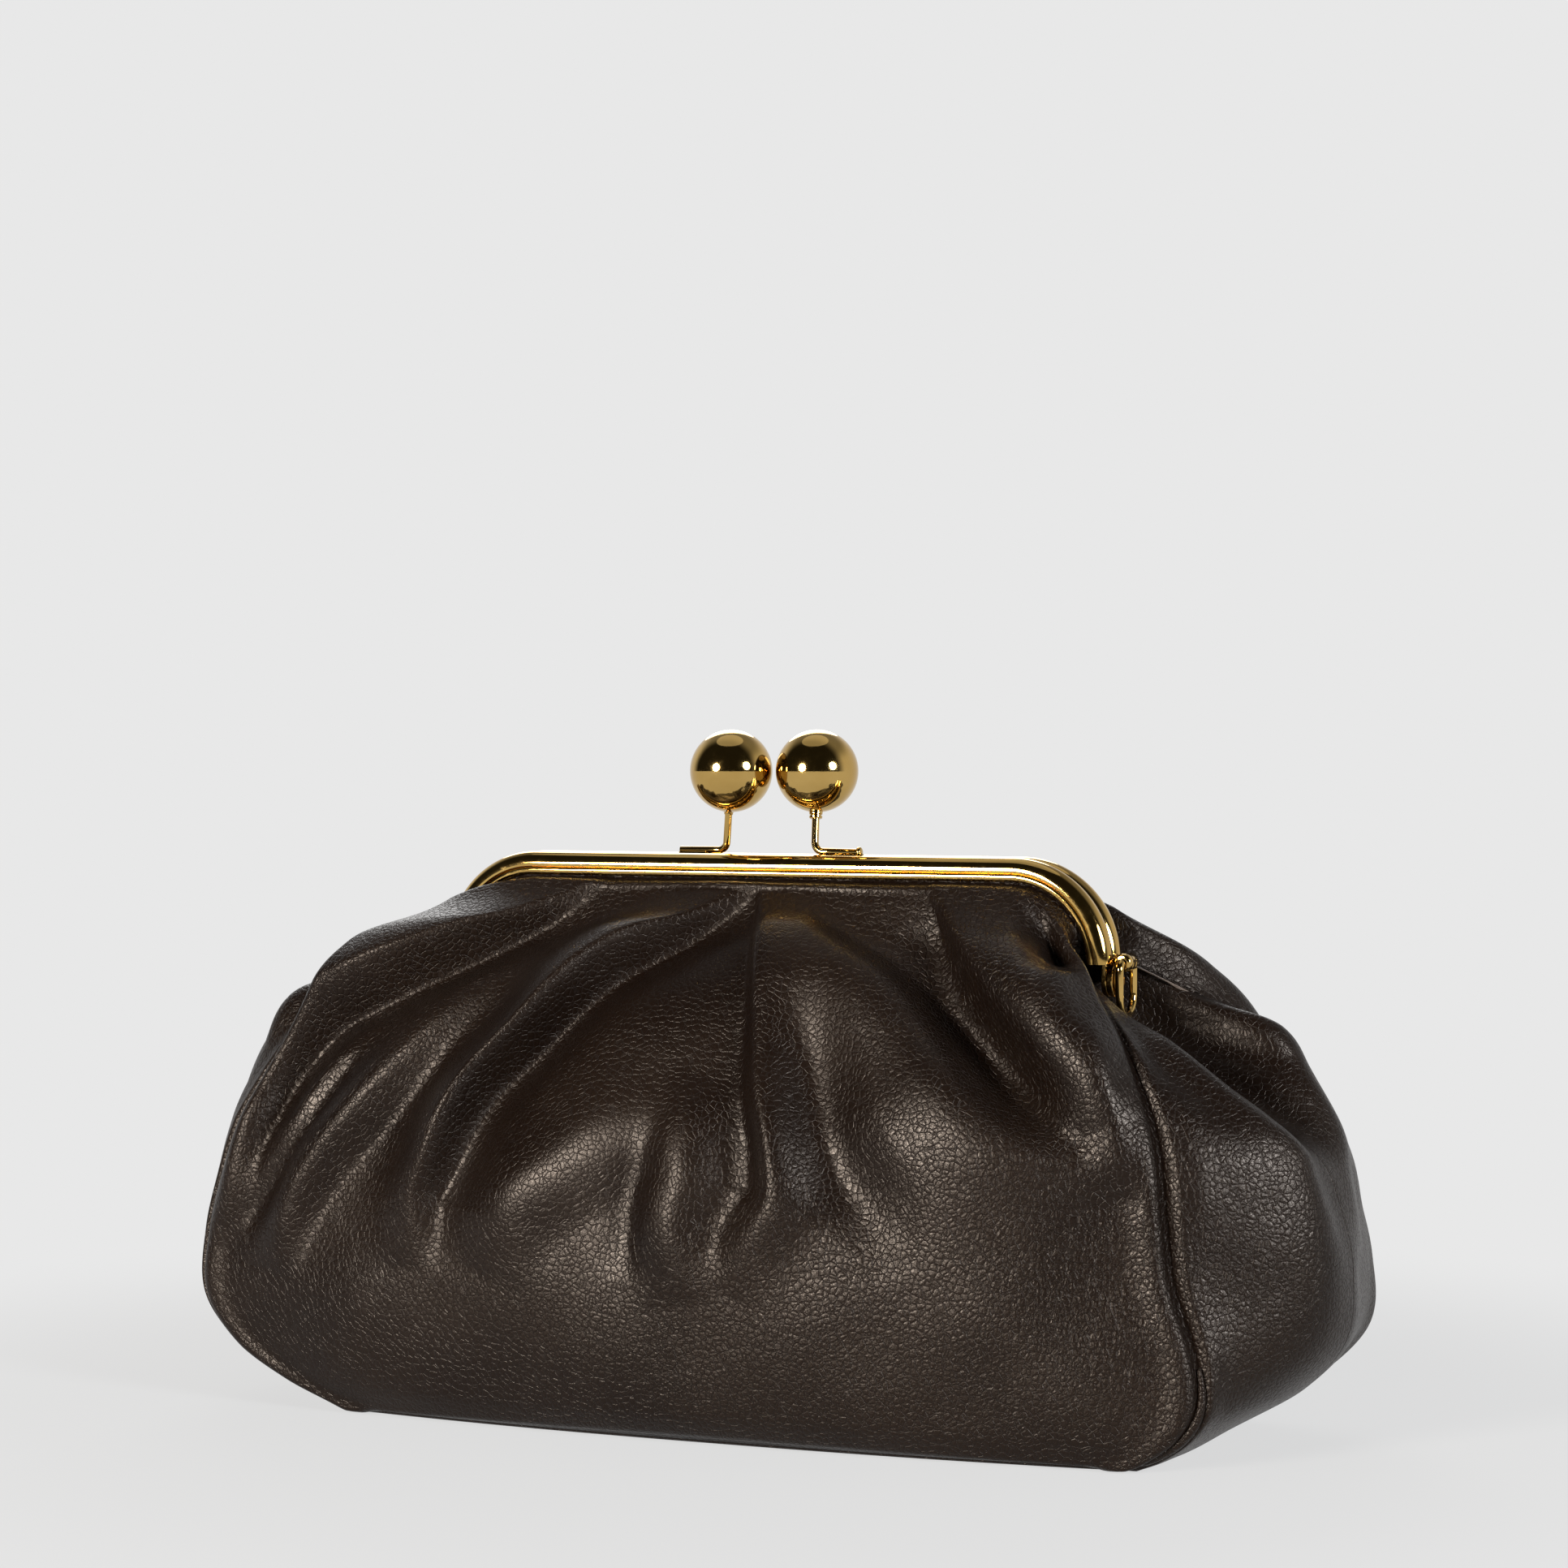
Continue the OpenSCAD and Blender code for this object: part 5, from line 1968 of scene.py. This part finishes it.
@dataclass
class RingEnd:
    """Rivet, curled ring loop and wire ring at one end of the frame."""

    side: int
    finishes: Finishes
    hinge_z: float = 106.5
    tab_x: float = 87.15
    tab_t: float = 0.7
    tab_r: float = 2.5
    barrel: tuple[float, float] = (89.4, 110.9)
    barrel_r: float = 2.1
    barrel_half: float = 3.2
    wire: float = 1.9
    ring_w: float = 12.0
    ring_h: float = 14.3
    corner: float = 1.75

    def word(self) -> str:
        """Gives the end's name."""
        return "right" if self.side > 0 else "left"

    def rivet(self) -> bpy.types.Object:
        """Turns the rivet with its two heads.

        Returns:
            The rivet.
        """
        profile = [
            (83.35, 0.0), (83.38, 0.8), (83.55, 1.45), (83.9, 1.95), (84.25, 2.0), (84.25, 1.3),
            (87.85, 1.3), (87.85, 2.0), (88.15, 1.96), (88.5, 1.5), (88.7, 0.85), (88.75, 0.0),
        ]
        origin = Vector((0, 0, self.hinge_z)) * MM
        return Shop.lathe("rivet", profile, origin, Vector((self.side, 0, 0)), 36)

    def loop(self) -> bpy.types.Object:
        """Curls the loop that holds the ring, with its tab.

        Returns:
            The loop, joined to its tab.
        """
        x, z = self.barrel
        low = [
            (self.tab_r * math.cos(a), self.hinge_z + self.tab_r * math.sin(a))
            for a in np.radians(np.linspace(180, 360, 23))
        ]
        outline = [(self.tab_r, z + 0.6), (-self.tab_r, z + 0.6), *low]
        outline = [Vector((self.side * self.tab_x, *p)) * MM for p in outline]
        tab = Shop.plate("tab", outline, Vector((self.side * self.tab_t * MM, 0, 0)), 0.00015)
        h, r, bore = self.barrel_half, self.barrel_r, self.wire / 2 + 0.07
        profile = [(-h, bore), (-h, r - 0.55), (-h + 0.12, r - 0.25), (-h + 0.45, r)]
        for groove in (-1.05, 1.05):
            profile += [(groove + a, r - d) for a, d in ((-0.28, 0), (-0.1, 0.24), (0.1, 0.24), (0.28, 0))]
        profile += [(h - 0.45, r), (h - 0.12, r - 0.25), (h, r - 0.55), (h, bore), (-h, bore)]
        origin = Vector((self.side * x, 0, z)) * MM
        return joined("loop", [Shop.lathe("barrel", profile, origin, Vector((0, 1, 0)), 40), tab])

    def ring(self) -> bpy.types.Object:
        """Bends the wire ring through its loop.

        Returns:
            The ring.
        """
        x, z = self.side * self.barrel[0], self.barrel[1]
        half = self.ring_w / 2 - self.wire / 2
        bar, drop = half - self.corner, self.ring_h - self.wire - half
        start = Vector((x, 0, z)) * MM
        heading, axis = Vector((0, 1, 0)), Vector((1, 0, 0))
        sweep = Sweep("ring", round_section(start, heading, self.wire), start, heading, False)
        sweep.straight(bar * MM)
        sweep.arc(Vector((x, bar, z - self.corner)) * MM, axis, -90, 10)
        sweep.straight((drop - self.corner) * MM)
        sweep.arc(Vector((x, 0, z - drop)) * MM, axis, -180, 32)
        sweep.straight((drop - self.corner) * MM)
        sweep.arc(Vector((x, -bar, z - self.corner)) * MM, axis, -90, 10)
        sweep.straight(bar * MM)
        return sweep.end(60)

    def build(self) -> None:
        """Builds the three pieces."""
        made = (
            (self.rivet(), f"{self.word()}_rivet", f"{self.word()}_hinge_rivet", "bag"),
            (self.loop(), f"{self.word()}_ring_loop", f"{self.word()}_ring_barrel", "bag"),
            (self.ring(), f"{self.word()}_wire_ring", f"{self.word()}_ring", f"{self.word()}_strap_ring"),
        )
        for piece, name, node, body in made:
            piece.name = piece.data.name = name
            self.finishes.dress(piece, self.finishes.gold, "gold")
            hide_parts(node)
            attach(piece, body)


# Studio


@dataclass
class Lamp:
    """A round softbox."""

    name: str
    way: tuple[float, float, float]
    distance: float
    size: float
    power: float
    colour: tuple[float, float, float] = (1.0, 1.0, 1.0)
    aim: tuple[float, float, float] = (0.0, 0.0, 0.09)

    def build(self) -> None:
        """Hangs the softbox and turns it to the purse."""
        data = bpy.data.lights.new(self.name, "AREA")
        data.shape, data.size, data.energy = "DISK", self.size, self.power
        data.color = self.colour
        lamp = bpy.data.objects.new(self.name, data)
        way = Vector(self.way).normalized()
        lamp.location = Vector(self.aim) + way * self.distance
        lamp.rotation_euler = way.to_track_quat("Z", "Y").to_euler()
        bpy.context.scene.collection.objects.link(lamp)


@dataclass
class Studio:
    """Camera, floor, lamps and surroundings."""

    place: tuple[float, float, float] = (0.3787, -0.8691, 0.165)
    turn: float = 23.4
    lens: float = 90.1
    shift: float = -0.0347
    pale: float = 0.807
    lamps: tuple[Lamp, ...] = (
        Lamp("left softbox", (-0.328, -0.921, 0.204), 1.5, 0.5, 46.0, (1.0, 0.95, 0.88)),
        Lamp("right softbox", (0.894, -0.356, 0.275), 1.5, 0.5, 30.0, (0.92, 0.96, 1.0)),
        Lamp("top softbox", (-0.1, 0.1, 1.0), 1.5, 1.3, 2.0),
        Lamp("back softbox", (-0.4, 0.8, 0.55), 1.9, 1.2, 16.0),
    )

    def camera(self) -> None:
        """Places the camera where the photograph was taken from."""
        data = bpy.data.cameras.new("camera")
        data.lens, data.sensor_width, data.sensor_fit = self.lens, 36.0, "HORIZONTAL"
        data.shift_y = self.shift
        data.clip_start, data.clip_end = 0.05, 50
        cam = bpy.data.objects.new("camera", data)
        cam.location = self.place
        cam.rotation_euler = (math.pi / 2, 0, math.radians(self.turn))
        bpy.context.scene.collection.objects.link(cam)
        bpy.context.scene.camera = cam

    def floor(self) -> None:
        """Lays the pale floor."""
        Shop.deselect()
        bpy.ops.mesh.primitive_circle_add(vertices=128, radius=12, fill_type="NGON", location=(0, 0, -0.0002))
        obj = bpy.context.object
        obj.name = "floor"
        obj.data.transform(obj.matrix_world)
        obj.matrix_world = Matrix.Identity(4)
        material = bpy.data.materials.new("pale floor")
        material.use_nodes = True
        material.node_tree.nodes.clear()
        g = Graph(material.node_tree)
        place = g.node("ShaderNodeTexCoord").outputs["Object"]
        away = g.node("ShaderNodeVectorMath", {0: place}, operation="LENGTH").outputs["Value"]
        path = g.node("ShaderNodeLightPath")
        seen = g.math("MAXIMUM", path.outputs["Is Camera Ray"], path.outputs["Is Glossy Ray"])
        seen = g.math("MAXIMUM", seen, path.outputs["Is Transmission Ray"])
        share = g.math("MULTIPLY", seen, g.ramp(away, 0.16, 0.36, 0.78, 1.0))
        plain = g.node("ShaderNodeBsdfDiffuse", {"Color": (0.4, 0.4, 0.4, 1)})
        glow = g.node("ShaderNodeEmission", {"Color": (self.pale, self.pale, self.pale, 1), "Strength": 1.0})
        mixed = g.node("ShaderNodeMixShader", {0: share, 1: plain.outputs[0], 2: glow.outputs[0]})
        g.node("ShaderNodeOutputMaterial", {0: mixed.outputs[0]})
        obj.data.materials.append(material)
        Shop.deselect()

    def surroundings(self) -> None:
        """Sets the room: pale behind the purse, dim in front of it and above."""
        world = bpy.data.worlds.new("studio")
        bpy.context.scene.world = world
        world.use_nodes = True
        world.node_tree.nodes.clear()
        g = Graph(world.node_tree)
        way = g.node("ShaderNodeSeparateXYZ", {0: g.node("ShaderNodeTexCoord").outputs["Generated"]})
        behind = g.ramp(way.outputs[1], -0.15, 0.35)
        low = g.ramp(way.outputs[2], 0.35, 0.75, 1.0, 0.35)
        level = g.math("MULTIPLY", behind, low)
        tone = g.blend(level, (0.02, 0.019, 0.017, 1), (self.pale, self.pale, self.pale, 1))
        back = g.node("ShaderNodeBackground", {0: tone, 1: 1.0})
        g.node("ShaderNodeOutputWorld", {0: back.outputs[0]})

    def build(self) -> None:
        """Sets the whole studio."""
        self.camera()
        self.floor()
        self.surroundings()
        for lamp in self.lamps:
            lamp.build()
        bpy.context.scene.view_settings.view_transform = "Standard"


@dataclass
class Purse:
    """The whole purse."""

    form: PurseForm = field(default_factory=PurseForm)
    finishes: Finishes = field(default_factory=Finishes)

    def build(self) -> None:
        """Builds the pieces in order."""
        Pouch(self.form, self.finishes).build()
        FrameHalf(Turn.FRONT, self.form, self.finishes, 84.35).build()
        FrameHalf(Turn.BACK, self.form, self.finishes, 85.75).build()
        ClaspBall(Turn.FRONT, self.finishes, 11.4, FootEnd.FLARED).build()
        ClaspBall(Turn.BACK, self.finishes, 13.4, FootEnd.CUT).build()
        for side in (1, -1):
            RingEnd(side, self.finishes).build()


def main() -> None:
    """Builds the purse and its studio."""
    logging.basicConfig(level=logging.INFO, format="%(message)s")
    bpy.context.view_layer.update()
    Studio().build()
    Purse().build()
    bpy.context.view_layer.update()


if __name__ == "__main__":
    main()
